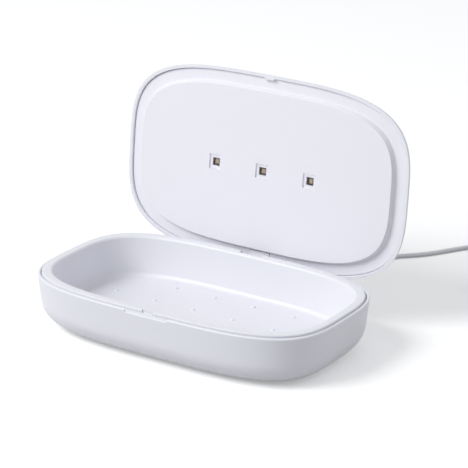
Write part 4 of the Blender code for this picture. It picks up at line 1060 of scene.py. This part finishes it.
# The inputs of the group in their order, and then the bump
plastics = {
    "satin_shell": ((0.85, 0.85, 0.9), (0.81, 0.82, 0.88), 0.35, 2600, 0.38, 0.5, 0.1),
    "satin_tray": ((0.83, 0.83, 0.875), (0.8, 0.8, 0.855), 0.35, 2600, 0.3, 0.42, 0.06),
    "satin_panel": ((0.87, 0.86, 0.92), (0.84, 0.84, 0.9), 0.35, 2600, 0.3, 0.42, 0.06),
    "satin_arm": ((0.8, 0.8, 0.85), (0.74, 0.74, 0.8), 0.4, 1800, 0.38, 0.52, 0.1),
    "soft_jacket": ((0.78, 0.79, 0.82), (0.72, 0.73, 0.77), 0.45, 3200, 0.42, 0.58, 0.12),
    "plug_grip_finish": ((0.8, 0.8, 0.83), (0.74, 0.74, 0.78), 0.35, 1500, 0.36, 0.52, 0.18),
    "key_finish": ((0.68, 0.68, 0.73), (0.62, 0.62, 0.68), 0.35, 2200, 0.24, 0.36, 0.08),
    "foot_rubber": ((0.27, 0.27, 0.28), (0.36, 0.36, 0.36), 0.6, 900, 0.72, 0.9, 0.45),
    "wire_jacket": ((0.26, 0.26, 0.28), (0.2, 0.2, 0.22), 0.5, 1500, 0.4, 0.55, 0.2),
    "black_moulding": ((0.03, 0.03, 0.035), (0.06, 0.06, 0.065), 0.5, 1800, 0.35, 0.55, 0.2),
    # The emitter package's near-black colour is painted shade for the deep opening behind each
    # window.
    "package_painted_shade": ((0.045, 0.034, 0.026), (0.09, 0.07, 0.05), 0.5, 2500, 0.3, 0.5, 0.15),
    "gold_chip": ((0.54, 0.43, 0.27), (0.37, 0.3, 0.2), 0.6, 4000, 0.25, 0.45, 0.15),
}
for name, (*values, bump) in plastics.items():
    finish_from(moulded_face, name, *values, bump=bump,
                metallic=0.4 if name == "gold_chip" else 0)

metals = {
    "strap_steel": ((0.56, 0.56, 0.57), 900, 0.26, 0.42, 0.2),
    "screw_steel": ((0.5, 0.5, 0.51), 1400, 0.22, 0.4, 0.15),
    "nickel_plate": ((0.7, 0.69, 0.67), 1200, 0.14, 0.26, 0.08),
}
for name, (*values, bump) in metals.items():
    finish_from(drawn_metal, name, *values, bump=bump, metallic=1.0)

# %% [markdown]
# ## Clear parts and boards
#
# The windows are quartz, so they keep a plain glass shader: full transmission and a constant
# roughness. A share of each ray passes straight through, because thin quartz bends light so
# little that the emitter behind it stays sharp. The circuit boards get paler tracks under
# their green lacquer, drawn by a brick pattern.

# %% Clear windows
tree, shader = new_finish("quartz_clear")
set_values(shader, Transmission_Weight=1.0, IOR=1.46, Roughness=0.03, Alpha=0.30)
where = add_node(tree, "ShaderNodeTexCoord", (-700, 100))
tint = add_node(tree, "ShaderNodeTexNoise", (-500, 100), Scale=60.0, Detail=2.0)
tinted = add_node(tree, "ShaderNodeMix", (-250, 100), data_type="RGBA",
                  A=(0.93, 0.93, 0.98, 1), B=(0.97, 0.97, 1.0, 1))
wire(tree, (where, "Object", tint, "Vector"), (tint, "Fac", tinted, "Factor"),
     (tinted, "Result", shader, "Base Color"))

# %% Circuit board
tree, shader = new_finish("board_lacquer")
where = add_node(tree, "ShaderNodeTexCoord", (-900, 100))
tracks = add_node(tree, "ShaderNodeTexBrick", (-600, 100), Scale=220.0, Mortar_Size=0.05,
                  Color1=(0.02, 0.12, 0.055, 1), Color2=(0.025, 0.15, 0.07, 1),
                  Mortar=(0.07, 0.26, 0.11, 1))
wire(tree, (where, "Object", tracks, "Vector"), (tracks, "Color", shader, "Base Color"))
add_relief(tree, tracks, "Fac", 0.3, shader)
set_values(shader, Roughness=0.35)


# %% Dress every piece
for piece, look in looks:
    piece.data.materials.clear()
    piece.data.materials.append(finishes[look])


def dress_nodes(look, *nodes):
    for node in nodes:
        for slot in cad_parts[node].material_slots:
            slot.material = finishes[look]


dress_nodes("nickel_plate", "base_magnet_left", "base_magnet_right", "lid_magnet_left",
            "lid_magnet_right")
dress_nodes("board_lacquer", "led_board", "control_board", "power_board")
dress_nodes("black_moulding", "button_switch", "power_socket_tongue")
dress_nodes("wire_jacket", "base_lead", "lid_lead")

# %% [markdown]
# ## Floor and light
#
# The white floor runs into a white background. It is a plain wide plane, and the camera sees
# it a little brighter than it is lit, so it reaches white while the soft shadow stays. A large
# soft lamp at the upper left gives the main light, a weaker one lights the far side, and the
# world fills the shadows with cool light.

# %% Rays that see
def rays_that_see(tree, y):
    """A node that gives 1 for the camera's rays, straight, mirrored or through glass."""
    path_kind = add_node(tree, "ShaderNodeLightPath", (-700, y))
    mirrored = add_node(tree, "ShaderNodeMath", (-450, y), operation="MAXIMUM")
    seen = add_node(tree, "ShaderNodeMath", (-250, y), operation="MAXIMUM")
    wire(tree, (path_kind, "Is Camera Ray", mirrored, 0),
         (path_kind, "Is Glossy Ray", mirrored, 1), (mirrored, 0, seen, 0),
         (path_kind, "Is Transmission Ray", seen, 1))
    return seen


# %% Floor
floor_size = 6.0
floor_lift = 0.27
floor_shape = bmesh.new()
bmesh.ops.create_grid(floor_shape, x_segments=1, y_segments=1, size=floor_size)
floor = object_from("floor", floor_shape)
tree, shader = new_finish("white_floor")
set_values(shader, Roughness=0.9, Specular_IOR_Level=0.0, Emission_Color=(1, 1, 1, 1))
floor_colour = add_node(tree, "ShaderNodeMix", (-250, 100), data_type="RGBA",
                        A=(0.55, 0.55, 0.55, 1), B=(0.95, 0.95, 0.95, 1))
seen = rays_that_see(tree, -300)
glow = add_node(tree, "ShaderNodeMath", (-50, -300), operation="MULTIPLY")
glow.inputs[1].default_value = floor_lift
wire(tree, (seen, 0, floor_colour, "Factor"), (floor_colour, "Result", shader, "Base Color"),
     (seen, 0, glow, 0), (glow, 0, shader, "Emission Strength"))
floor.data.materials.append(finishes["white_floor"])

# %% World
world = bpy.data.worlds.new("studio")
bpy.context.scene.world = world
world.use_nodes = True
tree = world.node_tree
tree.nodes.clear()
seen = rays_that_see(tree, 200)
fill = add_node(tree, "ShaderNodeBackground", (-250, 0), Color=(0.94, 0.97, 1.0, 1),
                Strength=0.435)
white = add_node(tree, "ShaderNodeBackground", (-250, -150), Color=(1, 1, 1, 1), Strength=1.0)
either = add_node(tree, "ShaderNodeMixShader", (50, 0))
out = add_node(tree, "ShaderNodeOutputWorld", (300, 0))
wire(tree, (seen, 0, either, "Fac"), (fill, 0, either, 1), (white, 0, either, 2),
     (either, 0, out, "Surface"))


# %% Lamps
def soft_lamp(name, place, size, power):
    """A round lamp that looks at the middle of the box."""
    data = bpy.data.lights.new(name, "AREA")
    data.shape = "DISK"
    data.size = size
    data.energy = power
    placed(name, data).matrix_world = looking(place, (0, 0, 0.05))


soft_lamp("main_lamp", (-1.0, -1.45, 1.6), 1.4, 38.0)
soft_lamp("back_lamp", (1.5, 1.3, 0.9), 2.0, 7.0)

# %% The end
bpy.context.view_layer.update()
